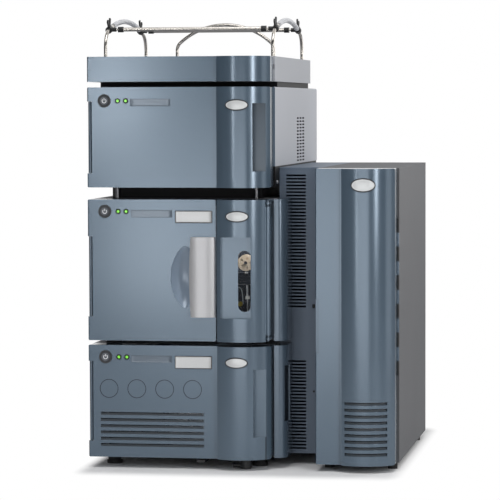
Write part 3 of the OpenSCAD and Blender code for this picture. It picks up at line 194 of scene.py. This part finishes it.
def softbox(name, place, size, watts, aim=(0.0, -0.25, 0.42)):
    """A rectangular area light that looks at aim."""
    data = bpy.data.lights.new(name, "AREA")
    data.shape, data.size, data.size_y, data.energy = "RECTANGLE", size[0], size[1], watts
    lamp = bpy.data.objects.new(name, data)
    lamp.location = place
    lamp.rotation_euler = (Vector(aim) - lamp.location).to_track_quat("-Z", "Y").to_euler()
    bpy.context.collection.objects.link(lamp)


softbox("upper_left_softbox", around(-16.3, 2.5, 0.73), (0.12, 0.36), 1.9)
softbox("lower_left_softbox", around(-13.8, 2.5, 0.30), (0.16, 0.30), 1.1)
softbox("front_fill", around(3.6, 2.7, 0.27), (1.4, 0.8), 8.0)
softbox("right_softbox", around(38, 2.5, 1.0), (0.30, 1.3), 15)
softbox("top_softbox", around(8, 1.0, 2.3), (1.8, 1.1), 25, aim=(0.0, -0.8, 0.0))
softbox("far_right_softbox", around(74, 2.5, 0.6), (0.8, 1.2), 3)
softbox("rear_right_softbox", around(128, 1.5, 0.8), (0.7, 1.2), 7, aim=(0.286, 0.3, 0.35))


# ---- Moulded doors, tray fascia and plugs --------------------------------------------------------
# Moulded shells in a blue-grey lacquer with a fine metallic flake and a faint spark-eroded texture.
# Each door is one shell, a flat that runs into a round column. Its hollows and grooves are
# coloured dark as painted shade, and the finger cup beside the handle lighter as painted light.
def shade(red, green, blue):
    """A linear colour from a display colour of 0 to 255."""
    return tuple(
        (c / 255 / 12.92 if c <= 10 else ((c / 255 + 0.055) / 1.055) ** 2.4)
        for c in (red, green, blue)
    ) + (1.0,)


def tinted(colour, factor):
    """A colour made lighter or darker."""
    return tuple(min(1.0, c * factor) for c in colour[:3]) + (1.0,)


def noise(finish, where, scale, detail):
    """Blotches or grain between 0 and 1."""
    return finish.out("TexNoise", {}, {"Vector": where, "Scale": scale, "Detail": detail})


def bump(finish, strength, distance, height):
    """Normals that follow a height."""
    return finish.out("Bump", {}, {"Strength": strength, "Distance": distance, "Height": height})


def painted(finish, sockets):
    """Ends a material in one Principled shader."""
    return finish.surface(finish.out("BsdfPrincipled", {}, sockets))


def along(finish, axis):
    """One of the object coordinates, X, Y or Z."""
    return finish.out("SeparateXYZ", {}, {0: finish.place()}, output=axis)


def off_axis(finish, middle, across):
    """Distance from an axis through middle; across has 1 for the directions that count."""
    return finish.vector("DISTANCE", finish.vector("MULTIPLY", finish.place(), across), middle, 1)


# The default mask colour, a near black blue-grey, is painted shade for the doors' hollows and grooves.
def lacquer(name, colour, rough=0.225, light_and_shade_patch=None, light_and_shade_colour=(0.012, 0.017, 0.023, 1)):
    """Metallic lacquer with a fine texture; where the mask gives 1 it takes the mask's colour and no
    gloss: painted shade in hollows and grooves, painted light in the finger cup."""
    paint = Finish(bpy.data.materials.new(name))
    where = paint.place()
    cloud, texture = noise(paint, where, 9.0, 3.0), noise(paint, where, 700.0, 2.0)
    tone = paint.mix(cloud * 0.6 + texture * 0.4, tinted(colour, 0.92), tinted(colour, 1.08))
    flake, gloss = 0.4, 0.65
    if light_and_shade_patch is not None:
        inside = light_and_shade_patch(paint)
        # Painted light and shade: the masked part takes a flat colour, dark for shade and lighter for
        # the cup.
        tone = paint.mix(inside, tone, light_and_shade_colour)
        flake, gloss = (1.0 - inside) * flake, (1.0 - inside) * gloss
    return painted(paint, {
        "Base Color": tone, "Metallic": flake, "Roughness": cloud * 0.04 + (rough - 0.02),
        "Normal": bump(paint, 0.2, 0.00004, texture), "Coat Weight": gloss, "Coat Roughness": 0.2})


def dress(material, *nodes):
    """Puts a material on whole CAD nodes."""
    for node in nodes:
        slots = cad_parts[node].data.materials
        slots.clear()
        slots.append(material)


door_flat, upright = -0.295, (1.0, 1.0, 0.0)
door_column, heater_column = (-0.005, -0.245, 0.0), (0.224, -0.245, 0.0)


def pull(paint):
    """Painted shade in the grip hollow beside the column: what lies more than 1.2 mm under the column's
    skin is coloured dark.
    """
    return (along(paint, "X") > 0.0165) * (off_axis(paint, door_column, upright) < 0.0688) * 0.55


def plug_groove_shade(paint):
    """Painted shade in the ring round a plug: the front of the flange, 3 mm behind the pump door's
    flat, is coloured dark.
    """
    behind = along(paint, "Y")
    return (behind > door_flat + 0.0022) * (behind < door_flat + 0.0038)


def pump_groove_shade(paint):
    """Painted shade on the floors of the pump door's air grooves, behind the flat and below
    the plugs.
    """
    behind, low = along(paint, "Y"), along(paint, "Z") < 0.112
    return (behind > door_flat + 0.0003) * (behind < door_flat + 0.0025) * low * 0.85


def heater_groove_shade(paint):
    """Painted shade on the floors of the heater door's air grooves, sunk into the round column
    below its middle.
    """
    low, proud = along(paint, "Z") < 0.150, along(paint, "Y") < door_flat - 0.0006
    return (off_axis(paint, heater_column, upright) < 0.0696) * low * proud * 0.85


def finger_cup_light(paint):
    """Painted light in the dished cup beside the handle, behind the sampler door's flat: it is coloured
    lighter than the door.
    """
    across, behind = along(paint, "X"), along(paint, "Y") > door_flat + 0.0003
    return behind * (across > -0.145) * (across < -0.085) * 0.8


# The doors' blue-grey, and a lighter blue-grey that is painted light in the finger cup.
door_colour, cup_painted_light = shade(84, 101, 116), shade(148, 163, 180)
# The masks below paint shade into the doors' hollows and grooves and light into the finger cup.
dress(lacquer("door_lacquer", door_colour), "tray_fascia", "fluidics_door")
dress(lacquer("detector_door_lacquer", door_colour, light_and_shade_patch=pull), "detector_door")
dress(lacquer("sample_door_lacquer", door_colour, light_and_shade_patch=finger_cup_light, light_and_shade_colour=cup_painted_light),
      "sample_door")
dress(lacquer("pump_door_lacquer", door_colour, light_and_shade_patch=pump_groove_shade), "pump_door")
dress(lacquer("heater_door_lacquer", door_colour, light_and_shade_patch=heater_groove_shade), "heater_door")
dress(lacquer("plug_lacquer", door_colour, light_and_shade_patch=plug_groove_shade), "door_plugs")
dress(lacquer("hinge_lacquer", shade(80, 95, 109)), "door_hinges", "side_cheeks", "fluidics_hinge")


# ---- Folded sheet covers -------------------------------------------------------------------------
# Powder-coated sheet: light grey covers and tray, blue-grey duct, dark chassis and black bases. The
# covers and the heater's case are open at the front, where the doors close them.
def powder(name, colour, rough=0.5, sheen=0.5, middle=None, lip=None):
    """Powder coat with orange peel; the faces that look in towards middle are coloured near black as
    painted shade for the inside of the case, and what is in front of lip is painted like the doors."""
    coat = Finish(bpy.data.materials.new(name))
    where = coat.place()
    cloud, peel = noise(coat, where, 6.0, 4.0), noise(coat, where, 420.0, 1.0)
    tone = coat.mix(cloud, tinted(colour, 0.95), tinted(colour, 1.05))
    if middle is not None:
        facing = coat.out("NewGeometry", output="True Normal")
        outward = coat.vector("DOT_PRODUCT", facing, coat.vector("SUBTRACT", where, middle), 1)
        # Painted shade: the inward faces of the covers and the heater's case turn near black.
        tone = coat.mix(outward < 0.0, tone, shade(24, 25, 27))
    if lip is not None:
        tone = coat.mix(along(coat, "Y") < lip, tone, shade(88, 103, 118))
    return painted(coat, {
        "Base Color": tone, "Roughness": cloud * 0.08 + (rough - 0.04),
        "Normal": bump(coat, 0.4, 0.00012, peel), "Specular IOR Level": sheen})


stack_middle, heater_middle = (-0.1145, 0.0, 0.0), (0.2115, 0.0, 0.0)
dress(powder("tray_coat", shade(162, 165, 171)), "tray_pan")
dress(powder("cover_coat", shade(174, 177, 184), middle=stack_middle, lip=-0.2496),
      "detector_cover", "sampler_cover", "pump_cover")
# The heater's case is coloured a dark grey, far darker than the covers' light grey: painted shade for
# its right side, which lies in shade.
dress(powder("case_coat", shade(84, 85, 88), 0.6, sheen=0.3, middle=heater_middle), "heater_case")
dress(powder("duct_coat", shade(86, 100, 117)), "heater_side_duct")
dress(powder("dark_coat", shade(70, 73, 78)), "sampler_chassis", "pump_chassis", "degasser")
dress(powder("guide_coat", shade(36, 41, 50)), "needle_guide")
dress(powder("black_coat", shade(22, 22, 24), sheen=0.1), "detector_chassis", "tray_plinth")


# ---- Plated sheet, turned steel and machined alloy -----------------------------------------------
# Zinc-plated bulkheads, drawn rail tube, ground steel fittings and the bowed alloy door handle. The
# grain runs the way that each was rolled, drawn or turned.
def metal(name, colour, rough, stretch=(1.0, 1.0, 1.0), scratch=0.00003, shine=1.0):
    """Bare metal with a directional grain."""
    bare = Finish(bpy.data.materials.new(name))
    grain, cloud = noise(bare, bare.place(stretch), 300.0, 3.0), noise(bare, bare.place(), 14.0, 3.0)
    tone = bare.mix(grain * 0.6 + cloud * 0.4, tinted(colour, 0.9), tinted(colour, 1.06))
    return painted(bare, {
        "Base Color": tone, "Metallic": shine, "Roughness": grain * 0.1 + (rough - 0.05),
        "Normal": bump(bare, 0.3, scratch, grain)})


turned_grain, drawn_grain, brushed_grain = (1, 1, 10), (8, 8, 1), (10, 10, 1)
dress(metal("zinc_plate", shade(186, 190, 196), 0.42),
      "detector_bulkhead", "sampler_bulkhead", "pump_bulkhead")
dress(metal("rail_tube", shade(204, 199, 192), 0.24, drawn_grain, scratch=0.000002),
      "rail_arches", "rail_rear_hoop", "rail_crossbars")
dress(metal("post_steel", shade(112, 112, 114), 0.3, turned_grain), "detector_feet")
dress(metal("ground_steel", shade(205, 206, 210), 0.22, turned_grain),
      "injection_valve", "pump_heads", "columns")
dress(metal("cell_steel", shade(150, 152, 156), 0.4, turned_grain), "flow_cell")
dress(metal("handle_alloy", shade(178, 178, 180), 0.36, brushed_grain, shine=0.6), "door_handle")
dress(metal("milled_alloy", shade(176, 178, 182), 0.4), "lamp_housing", "column_trough")


# ---- Moulded plastics and rubber -----------------------------------------------------------------
# Injection-moulded black fans, knobs, clamps and sockets, the off-white lining, the blue
# carousel and the beige pulley. The feet are black rubber.
def plastic(name, colour, rough=0.45, grain=0.00006):
    """Moulded plastic or rubber with a fine grain."""
    body = Finish(bpy.data.materials.new(name))
    where = body.place()
    cloud, grains = noise(body, where, 30.0, 4.0), noise(body, where, 1100.0, 1.0)
    return painted(body, {
        "Base Color": body.mix(cloud, tinted(colour, 0.94), tinted(colour, 1.06)),
        "Roughness": cloud * 0.1 + (rough - 0.05), "Normal": bump(body, 0.4, grain, grains)})


dress(plastic("black_moulding", shade(26, 27, 29)), "rail_clamps", "detector_fan", "sampler_fan",
      "pump_fan", "heater_fan", "fan_frames", "prime_valve_knob", "drip_tray", "rear_connectors",
      "heater_hinge")
dress(plastic("off_white_lining", shade(226, 226, 220), 0.5), "sample_compartment")
dress(plastic("carousel_blue", shade(70, 92, 128), 0.4), "vial_carousel")
dress(plastic("beige_pulley", shade(206, 188, 164)), "needle_pulley")
dress(plastic("foot_rubber", shade(22, 22, 23), 0.75, 0.0001), "rubber_feet")


# ---- Lenses, glass and clear tube ----------------------------------------------------------------
# Lit green status lamps, the tinted pane of the fluidics door, the blown glass vials, and the milky
# sleeves pushed over the rails.
def clear(name, colour, alpha, rough=0.08, gloss=0.5):
    """A thin clear or milky skin."""
    skin = Finish(bpy.data.materials.new(name))
    haze = noise(skin, skin.place(), 40.0, 3.0)
    return painted(skin, {
        "Base Color": colour, "Roughness": haze * 0.08 + rough,
        "Alpha": haze * 0.1 + (alpha - 0.05), "Specular IOR Level": gloss})


lens = Finish(bpy.data.materials.new("lamp_green"))
core = noise(lens, lens.place(), 400.0, 1.0)
dress(painted(lens, {
    "Base Color": lens.mix(core, (0.10, 0.42, 0.03, 1), (0.16, 0.55, 0.05, 1)), "Roughness": 0.2,
    "Emission Color": lens.mix(core, (0.16, 0.62, 0.04, 1), (0.30, 0.85, 0.08, 1)),
    "Emission Strength": 0.55}), "detector_status_lamps", "sampler_status_lamps", "pump_status_lamps")
dress(clear("window_pane", shade(30, 36, 46), 0.12, 0.05, 0.2), "fluidics_window")
dress(clear("vial_glass", shade(222, 232, 236), 0.55, 0.06), "vials")
dress(clear("milky_sleeve", shade(222, 224, 228), 0.72, 0.3), "rail_sleeves")


# ---- Power buttons and status lamps --------------------------------------------------------------
# Each black button has a grey dished face with a raised standby mark, an open ring and a bar. Each
# lamp lens sits in a snapped-in black bezel.
def spot(x, y, z):
    """A point in metres from stack millimetres: from the left side, behind the door flats, and up."""
    return Vector((x - 286.0, y - 295.0, z)) / 1000.0


def make_piece(name, points, faces, body, slot, *materials, smooth=True):
    """A mesh piece that rides on a CAD body; each face is its corners and its material's number."""
    mesh = bpy.data.meshes.new(name)
    mesh.from_pydata(points, [], [corners for corners, _ in faces])
    for polygon, (_, number) in zip(mesh.polygons, faces):
        polygon.material_index, polygon.use_smooth = number, smooth
    for material in materials:
        mesh.materials.append(material)
    mesh.validate()
    piece = bpy.data.objects.new(name, mesh)
    bpy.context.collection.objects.link(piece)
    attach(piece, body)


def flat_cut(outlines, centre, back, front):
    """Points and faces of flat shapes that face the front; outlines are across and up."""
    points, faces = [], []
    for outline in outlines:
        first, count = len(points), len(outline)
        for depth in (front, back):
            points += [spot(centre[0] + u, depth, centre[1] + w) for u, w in outline]
        faces.append((tuple(range(first + count - 1, first - 1, -1)), 0))
        faces.append((tuple(range(first + count, first + 2 * count)), 0))
        for i in range(count):
            j = (i + 1) % count
            faces.append(((first + i, first + j, first + count + j, first + count + i), 0))
    return points, faces


def turned(profile, centres, steps=40):
    """Points and faces of closed rings about axes that run to the front; a profile is radius and
    depth."""
    points, faces = [], []
    for x, z in centres:
        first = len(points)
        for radius, depth in profile:
            for i in range(steps):
                angle = 2 * math.pi * i / steps
                points.append(spot(x + radius * math.sin(angle), depth, z + radius * math.cos(angle)))
        for row in range(len(profile)):
            a, b = first + row * steps, first + (row + 1) % len(profile) * steps
            for i in range(steps):
                j = (i + 1) % steps
                faces.append(((a + i, a + j, b + j, b + i), 0))
    return points, faces


mark_arc = [math.radians(40 + 280 * i / 36) for i in range(37)]
mark_ring = [(4.3 * math.sin(t), 4.3 * math.cos(t)) for t in mark_arc]
mark_ring += [(3.1 * math.sin(t), 3.1 * math.cos(t)) for t in reversed(mark_arc)]
mark_bar = [(-0.6, 0.9), (-0.6, 5.0), (0.6, 5.0), (0.6, 0.9)]
mark_ink = plastic("mark_ink", shade(226, 228, 230), 0.4, 0.00001)
bezel_black = plastic("bezel_black", shade(18, 21, 22), 0.5, 0.00002)
bezel = [(2.65, 0.3), (2.65, -0.5), (3.1, -1.0), (4.5, -1.0), (5.0, -0.5), (5.0, 0.2)]
button_across, lamps_across = 32.5, (57.5, 72.5)
for module, door, height in (("detector", "detector_door_body", 677.0),
                             ("sampler", "sample_door_body", 474.0),
                             ("pump", "pump_door_body", 205.5)):
    make_piece(module + "_standby_mark",
               *flat_cut([mark_ring, mark_bar], (button_across, height), -0.6, -1.2),
               module + "_button_body", "black_plastic", mark_ink, smooth=False)
    make_piece(module + "_lamp_bezels", *turned(bezel, [(x, height) for x in lamps_across]), door,
               "black_plastic", bezel_black)
    cap = Finish(bpy.data.materials.new(module + "_button_cap"))
    reach = off_axis(cap, (-0.2535, 0.0, height / 1000), (1.0, 0.0, 1.0))
    dish = cap.out("MapRange", {}, {"Value": reach, "From Min": 0.0072, "From Max": 0.0080})
    dress(painted(cap, {
        "Base Color": cap.mix(dish, shade(84, 88, 94), shade(38, 40, 44)),
        "Roughness": noise(cap, cap.place(), 60.0, 3.0) * 0.1 + 0.36}), module + "_power_button")


# ---- Bare badges and plates ----------------------------------------------------------------------
# Oval badges bent round the columns, name strips beside the lamps, and bright plates near the columns:
# thin pressed sheet glued to the doors, each with a dark rim and nothing on it.
column_radius, column_depth = 70.0, 50.0


def oval(width, height):
    """Outline of an oval, drawn in by an inset."""
    def outline(inset):
        turns = [2 * math.pi * i / 64 for i in range(64)]
        return [((width / 2 - inset) * math.cos(t), (height / 2 - inset) * math.sin(t)) for t in turns]
    return outline


def round_corners(width, height, radius):
    """Outline of a rectangle with round corners, drawn in by an inset."""
    def outline(inset):
        points, r = [], max(radius - inset, 0.05)
        for k, (side, top) in enumerate([(1, 1), (-1, 1), (-1, -1), (1, -1)]):
            for i in range(7):
                angle = math.pi / 2 * (k + i / 6)
                points.append((side * (width / 2 - inset - r) + r * math.cos(angle),
                               top * (height / 2 - inset - r) + r * math.sin(angle)))
        return points
    return outline


def plaque(name, outline, centre, rows, body, slot, materials, column=None, dome=0.0):
    """A pressed plate; rows are (inset, height, material), and column is the x it is bent round."""
    def lay(u, w, height):
        if column is None:
            return spot(centre[0] + u, -height, centre[1] + w)
        angle, far = (centre[0] + u - column) / column_radius, column_radius + height
        return spot(column + far * math.sin(angle), column_depth - far * math.cos(angle), centre[1] + w)

    points, faces, count = [], [], len(outline(0))
    for inset, height, _ in rows:
        points += [lay(u, w, height) for u, w in outline(inset)]
    inset, height, face_material = rows[-1]
    for share in (0.8, 0.6, 0.4, 0.2):
        rise = height + dome * (1 - share ** 2)
        points += [lay(u * share, w * share, rise) for u, w in outline(inset)]
    for row in range(len(rows) + 3):
        material = rows[min(row, len(rows) - 1)][2]
        for i in range(count):
            j = (i + 1) % count
            a, b = row * count, (row + 1) * count
            faces.append(((a + i, a + j, b + j, b + i), material))
    points.append(lay(0, 0, height + dome))
    faces.append((tuple(range(count - 1, -1, -1)), rows[0][2]))
    last = (len(rows) + 3) * count
    faces += [((last + i, last + (i + 1) % count, len(points) - 1), face_material)
              for i in range(count)]
    make_piece(name, points, faces, body, slot, *materials)


rim_dark = plastic("rim_dark", shade(24, 28, 34), 0.5, 0.00001)
badge_face = metal("badge_face", shade(206, 208, 208), 0.34, shine=0.3)
plate_face = metal("plate_face", shade(198, 199, 199), 0.36, (1, 1, 6), shine=0.35)
strip_face = lacquer("strip_face", shade(86, 98, 110), rough=0.24)
strip_rim = lacquer("strip_rim", shade(70, 82, 94), rough=0.24)
badge_rows = [(0.0, -0.3, 0), (0.0, 0.7, 0), (0.5, 1.1, 0), (1.6, 1.1, 0), (2.2, 0.8, 1)]
plate_rows = [(0.0, -0.2, 0), (0.0, 0.4, 0), (0.3, 0.6, 0), (1.3, 0.6, 0), (1.5, 0.45, 1)]
strip_rows = [(0.0, -0.2, 0), (0.0, 0.15, 0), (0.2, 0.2, 0), (0.6, 0.2, 0), (0.8, 0.15, 1)]
for name, x, z, size, column, body in (
        ("detector_badge", 282.0, 668.8, (44, 21), 281.0, "detector_door_body"),
        ("sampler_badge", 282.0, 465.8, (44, 21), 281.0, "fluidics_door_body"),
        ("pump_badge", 280.0, 198.6, (43, 20.5), 281.0, "pump_door_body"),
        ("heater_badge", 513.0, 523.3, (46, 26), 510.0, "heater_door_body")):
    plaque(name, oval(*size), (x, z), badge_rows, body, "handle_alloy", (rim_dark, badge_face),
           column, dome=0.9)
plate_look = (1.2, plate_rows, "handle_alloy", (rim_dark, plate_face))
strip_look = (0.8, strip_rows, "door_plastic", (strip_rim, strip_face))
for name, x0, x1, z0, z1, body, (corner, rows, slot, faces) in (
        ("sampler_plate", 164.0, 233.4, 453.0, 476.0, "sample_door_body", plate_look),
        ("pump_plate", 162.4, 232.0, 185.0, 209.0, "pump_door_body", plate_look),
        ("detector_strip", 80.7, 156.0, 667.0, 680.7, "detector_door_body", strip_look),
        ("sampler_strip", 81.7, 158.7, 463.0, 477.0, "sample_door_body", strip_look),
        ("pump_strip", 80.7, 157.0, 196.0, 209.0, "pump_door_body", strip_look)):
    plaque(name, round_corners(x1 - x0, z1 - z0, corner), ((x0 + x1) / 2, (z0 + z1) / 2), rows, body,
           slot, faces)


# ---- Bars of the heater door ---------------------------------------------------------------------
# The eight bars left standing between the tall door's air slots: the shell's own moulding, bent round
# its column and painted with it, each with softened edges.
def start_tree(name, sizes):
    """A Geometry Nodes tree with points to build on, an input for each size, and one for the finish."""
    tree = bpy.data.node_groups.new(name, "GeometryNodeTree")
    tree.interface.new_socket("Points", in_out="INPUT", socket_type="NodeSocketGeometry")
    for label in sizes:
        tree.interface.new_socket(label, in_out="INPUT", socket_type="NodeSocketFloat")
    tree.interface.new_socket("Finish", in_out="INPUT", socket_type="NodeSocketMaterial")
    tree.interface.new_socket("Pieces", in_out="OUTPUT", socket_type="NodeSocketGeometry")
    return tree


def grow(tree, kind, settings=None, **links):
    """Adds a Geometry Nodes node and links or sets its inputs, spaces in names written as _."""
    made = tree.nodes.new(kind)
    for setting, value in (settings or {}).items():
        setattr(made, setting, value)
    for label, value in links.items():
        socket = made.inputs[label.replace("_", " ")]
        if isinstance(value, bpy.types.NodeSocket):
            tree.links.new(value, socket)
        else:
            socket.default_value = value
    return made


def settle(tree, placed, name, start, sizes, material, body):
    """Makes a tree's instances on the start mesh real: one plain piece that rides on a CAD body."""
    real = grow(tree, "GeometryNodeRealizeInstances", {}, Geometry=placed.outputs[0])
    finished = grow(tree, "GeometryNodeSetMaterial", {}, Geometry=real.outputs[0],
                    Material=grow(tree, "NodeGroupInput").outputs["Finish"])
    grow(tree, "NodeGroupOutput", {}, Pieces=finished.outputs[0])
    piece = bpy.data.objects.new(name, start)
    bpy.context.collection.objects.link(piece)
    growing = piece.modifiers.new("pieces", "NODES")
    growing.node_group = tree
    given = {**sizes, "Finish": material}
    for item in tree.interface.items_tree:
        if item.in_out == "INPUT" and item.name in given:
            growing[item.identifier] = given[item.name]
    evaluated = piece.evaluated_get(bpy.context.evaluated_depsgraph_get())
    plain = bpy.data.meshes.new_from_object(evaluated)
    piece.modifiers.clear()
    piece.data = plain
    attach(piece, body)


bar_count, bar_pitch, lowest_bar = 8, 11.6, 39.55
bar_sizes = {"Middle radius": 0.06911, "Left end": math.radians(-117.4), "Sweep": math.radians(67.6),
             "Depth": 0.00202, "Height": 0.0063, "Edge radius": 0.00022}
bar_tree = start_tree("slot_bars", bar_sizes)
bar_asked = grow(bar_tree, "NodeGroupInput").outputs
arc = grow(bar_tree, "GeometryNodeCurveArc", {"mode": "RADIUS"}, Resolution=90,
           Radius=bar_asked["Middle radius"], Start_Angle=bar_asked["Left end"],
           Sweep_Angle=bar_asked["Sweep"])
section = grow(bar_tree, "GeometryNodeCurvePrimitiveQuadrilateral", {}, Width=bar_asked["Depth"],
               Height=bar_asked["Height"])
rounded = grow(bar_tree, "GeometryNodeFilletCurve", {"mode": "POLY"}, Curve=section.outputs[0],
               Count=2, Radius=bar_asked["Edge radius"])
bent_bar = grow(bar_tree, "GeometryNodeCurveToMesh", {}, Curve=arc.outputs[0],
                Profile_Curve=rounded.outputs[0], Fill_Caps=True)
flat_faced = grow(bar_tree, "GeometryNodeSetShadeSmooth", {}, Geometry=bent_bar.outputs[0],
                  Shade_Smooth=False)
bars = grow(bar_tree, "GeometryNodeInstanceOnPoints", {}, Points=bar_asked["Points"],
            Instance=flat_faced.outputs[0])
bar_spots = [spot(510.0, column_depth, lowest_bar + bar_pitch * i) for i in range(bar_count)]
bar_points = bpy.data.meshes.new("heater_door_bars")
bar_points.from_pydata(bar_spots, [], [])
settle(bar_tree, bars, "heater_door_bars", bar_points, bar_sizes, lacquer("bar_lacquer", door_colour),
       "heater_door_body")


# ---- Fluidics bay --------------------------------------------------------------------------------
# A wash loop of clear tube and its yellow finger nut on the needle guide's lower block. The steel
# needle holder has a dark block and a white wash collar.
def tube(name, path, radius, body, material):
    """A bent tube with closed ends, through points in stack millimetres."""
    bend = bpy.data.curves.new(name, "CURVE")
    bend.dimensions, bend.bevel_depth, bend.use_fill_caps = "3D", radius / 1000, True
    bend.bevel_resolution, bend.resolution_u = 4, 8
    run = bend.splines.new("NURBS")
    run.points.add(len(path) - 1)
    for knot, place in zip(run.points, path):
        knot.co = (*spot(*place), 1.0)
    run.use_endpoint_u, run.order_u = True, 4
    shaped = bpy.data.objects.new(name + "_path", bend)
    bpy.context.collection.objects.link(shaped)
    evaluated = shaped.evaluated_get(bpy.context.evaluated_depsgraph_get())
    mesh = bpy.data.meshes.new_from_object(evaluated)
    bpy.data.objects.remove(shaped)
    welded = bmesh.new()
    welded.from_mesh(mesh)
    bmesh.ops.remove_doubles(welded, verts=welded.verts, dist=0.000001)
    welded.to_mesh(mesh)
    welded.free()
    mesh.name = name
    mesh.materials.clear()
    mesh.materials.append(material)
    piece = bpy.data.objects.new(name, mesh)
    bpy.context.collection.objects.link(piece)
    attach(piece, body)


loop_path = [(268, 103.8, 298), (268, 96, 298), (262, 91, 306), (261, 90, 322), (266, 90, 332),
             (272, 91, 328), (274, 93, 314), (274, 97, 299), (274, 103.8, 298)]
tube("wash_loop", loop_path, 0.9, "stack",
     clear("loop_tube", shade(214, 222, 226), 0.6))
nut = [(0.9, 95.2), (2.6, 95.2), (3.6, 96.0), (3.6, 98.2), (4.6, 99.0), (4.6, 103.9), (0.9, 103.9)]
make_piece("finger_nut", *turned(nut, [(268, 298)], 16), "stack", "pulley_plastic",
           plastic("finger_nut", shade(168, 150, 42)), smooth=False)
holder = Finish(bpy.data.materials.new("needle_holder"))
level = along(holder, "Z")
collar = (level > 0.3079) * (level < 0.3141)
dark_block = (level > 0.3345) * (level < 0.3565)
holder_tone = holder.mix(dark_block, shade(206, 207, 210), shade(34, 38, 46))
polish = noise(holder, holder.place((1, 1, 12)), 200.0, 3.0)
dress(painted(holder, {
    "Base Color": holder.mix(collar, holder_tone, shade(236, 235, 230)),
    "Metallic": (1.0 - collar) * (1.0 - dark_block),
    "Roughness": polish * 0.1 + dark_block * 0.2 + 0.24}), "needle_carriage")

# A small dim lamp inside the bay lights the needle drive.
softbox("bay_lamp", spot(318, 62, 470), (0.02, 0.02), 0.35, aim=spot(280, 90, 360))


# ---- Duct trim -----------------------------------------------------------------------------------
# Two black rubber bumpers, pressed into the duct's front edge beside the heater door: a tall one
# and a small one below it.
bumper_rows = [(0.0, -100.3, 0), (0.0, -98.6, 0), (0.5, -98.0, 0)]
bumper_rubber = plastic("bumper_rubber", shade(20, 20, 21), 0.7)
for name, width, height, z in (("upper_bumper", 4.6, 7.4, 295.0), ("lower_bumper", 3.2, 3.6, 136.0)):
    plaque(name, round_corners(width, height, 1.0), (406.4, z), bumper_rows, "stack", "foot_rubber",
           (bumper_rubber,))


# ---- Screws --------------------------------------------------------------------------------------
# Zinc-plated pan-head screws with a round recess hold the rear walls, the fan frames, the bulkheads
# and the covers' lower edges.
rear_wall, heater_rear, bulkhead_face, cover_right = 600.0, 548.0, 100.0, 343.0
fan_holes = [(across, up) for across in (-35.7, 35.7) for up in (-35.7, 35.7)]
screw_spots = []
for base, height in ((20.0, 207.5), (236.0, 260.0), (518.0, 184.0)):
    low, high, middle = base + 9, base + height - 9, base + height / 2
    screw_spots += [((x, rear_wall, z), (0, 1, 0)) for x in (13, 150, 330) for z in (low, high)]
    screw_spots += [((92 + across, rear_wall, middle + up), (0, 1, 0)) for across, up in fan_holes]
    screw_spots += [((0.0, y, low), (-1, 0, 0)) for y in (64, 320, 576)]
    screw_spots += [((cover_right, y, low), (1, 0, 0)) for y in (64, 320, 576) if base > 500]
screw_spots += [((x, bulkhead_face, z), (0, -1, 0)) for x in (10, 160, 333)
                for z in (30, 216, 530, 690)]
screw_spots += [((497.5 + across, heater_rear, 103 + up), (0, 1, 0)) for across, up in fan_holes]
screw_spots += [((x, heater_rear, z), (0, 1, 0)) for x in (432, 563) for z in (24, 283, 543)]
screw_points = bpy.data.meshes.new("case_screws")
screw_points.from_pydata([spot(*place) for place, _ in screw_spots], [], [])
facing = screw_points.attributes.new("facing", "FLOAT_VECTOR", "POINT")
for value, (_, way) in zip(facing.data, screw_spots):
    value.vector = way

screw_sizes = {"Head radius": 0.0033, "Head height": 0.0022, "Recess depth": 0.0014,
               "Base depth": 0.0004}
screw_tree = start_tree("pan_head_screws", screw_sizes)
asked = grow(screw_tree, "NodeGroupInput").outputs
head = grow(screw_tree, "GeometryNodeMeshCylinder", {"fill_type": "NGON"}, Vertices=20,
            Radius=asked["Head radius"], Depth=asked["Base depth"])
mesh_end, top = head.outputs["Mesh"], head.outputs["Top"]
for share, shrink in ((0.55, 1.0), (0.45, 0.8), (0.0, 0.55), (-1.0, 0.9)):
    step = grow(screw_tree, "ShaderNodeMath", {"operation": "MULTIPLY"})
    screw_tree.links.new(asked["Recess depth" if share < 0 else "Head height"], step.inputs[0])
    step.inputs[1].default_value = share
    raised = grow(screw_tree, "GeometryNodeExtrudeMesh", {"mode": "FACES"}, Mesh=mesh_end,
                  Selection=top, Offset_Scale=step.outputs[0], Individual=False)
    drawn = grow(screw_tree, "GeometryNodeScaleElements", {}, Geometry=raised.outputs["Mesh"],
                 Selection=raised.outputs["Top"], Scale=shrink)
    mesh_end, top = drawn.outputs[0], raised.outputs["Top"]
way = grow(screw_tree, "GeometryNodeInputNamedAttribute", {"data_type": "FLOAT_VECTOR"}, Name="facing")
turn = grow(screw_tree, "FunctionNodeAlignRotationToVector", {"axis": "Z"}, Vector=way.outputs[0])
placed = grow(screw_tree, "GeometryNodeInstanceOnPoints", {}, Points=asked["Points"], Instance=mesh_end,
              Rotation=turn.outputs[0])
settle(screw_tree, placed, "case_screws", screw_points, screw_sizes,
       metal("screw_zinc", shade(168, 171, 176), 0.35), "stack")
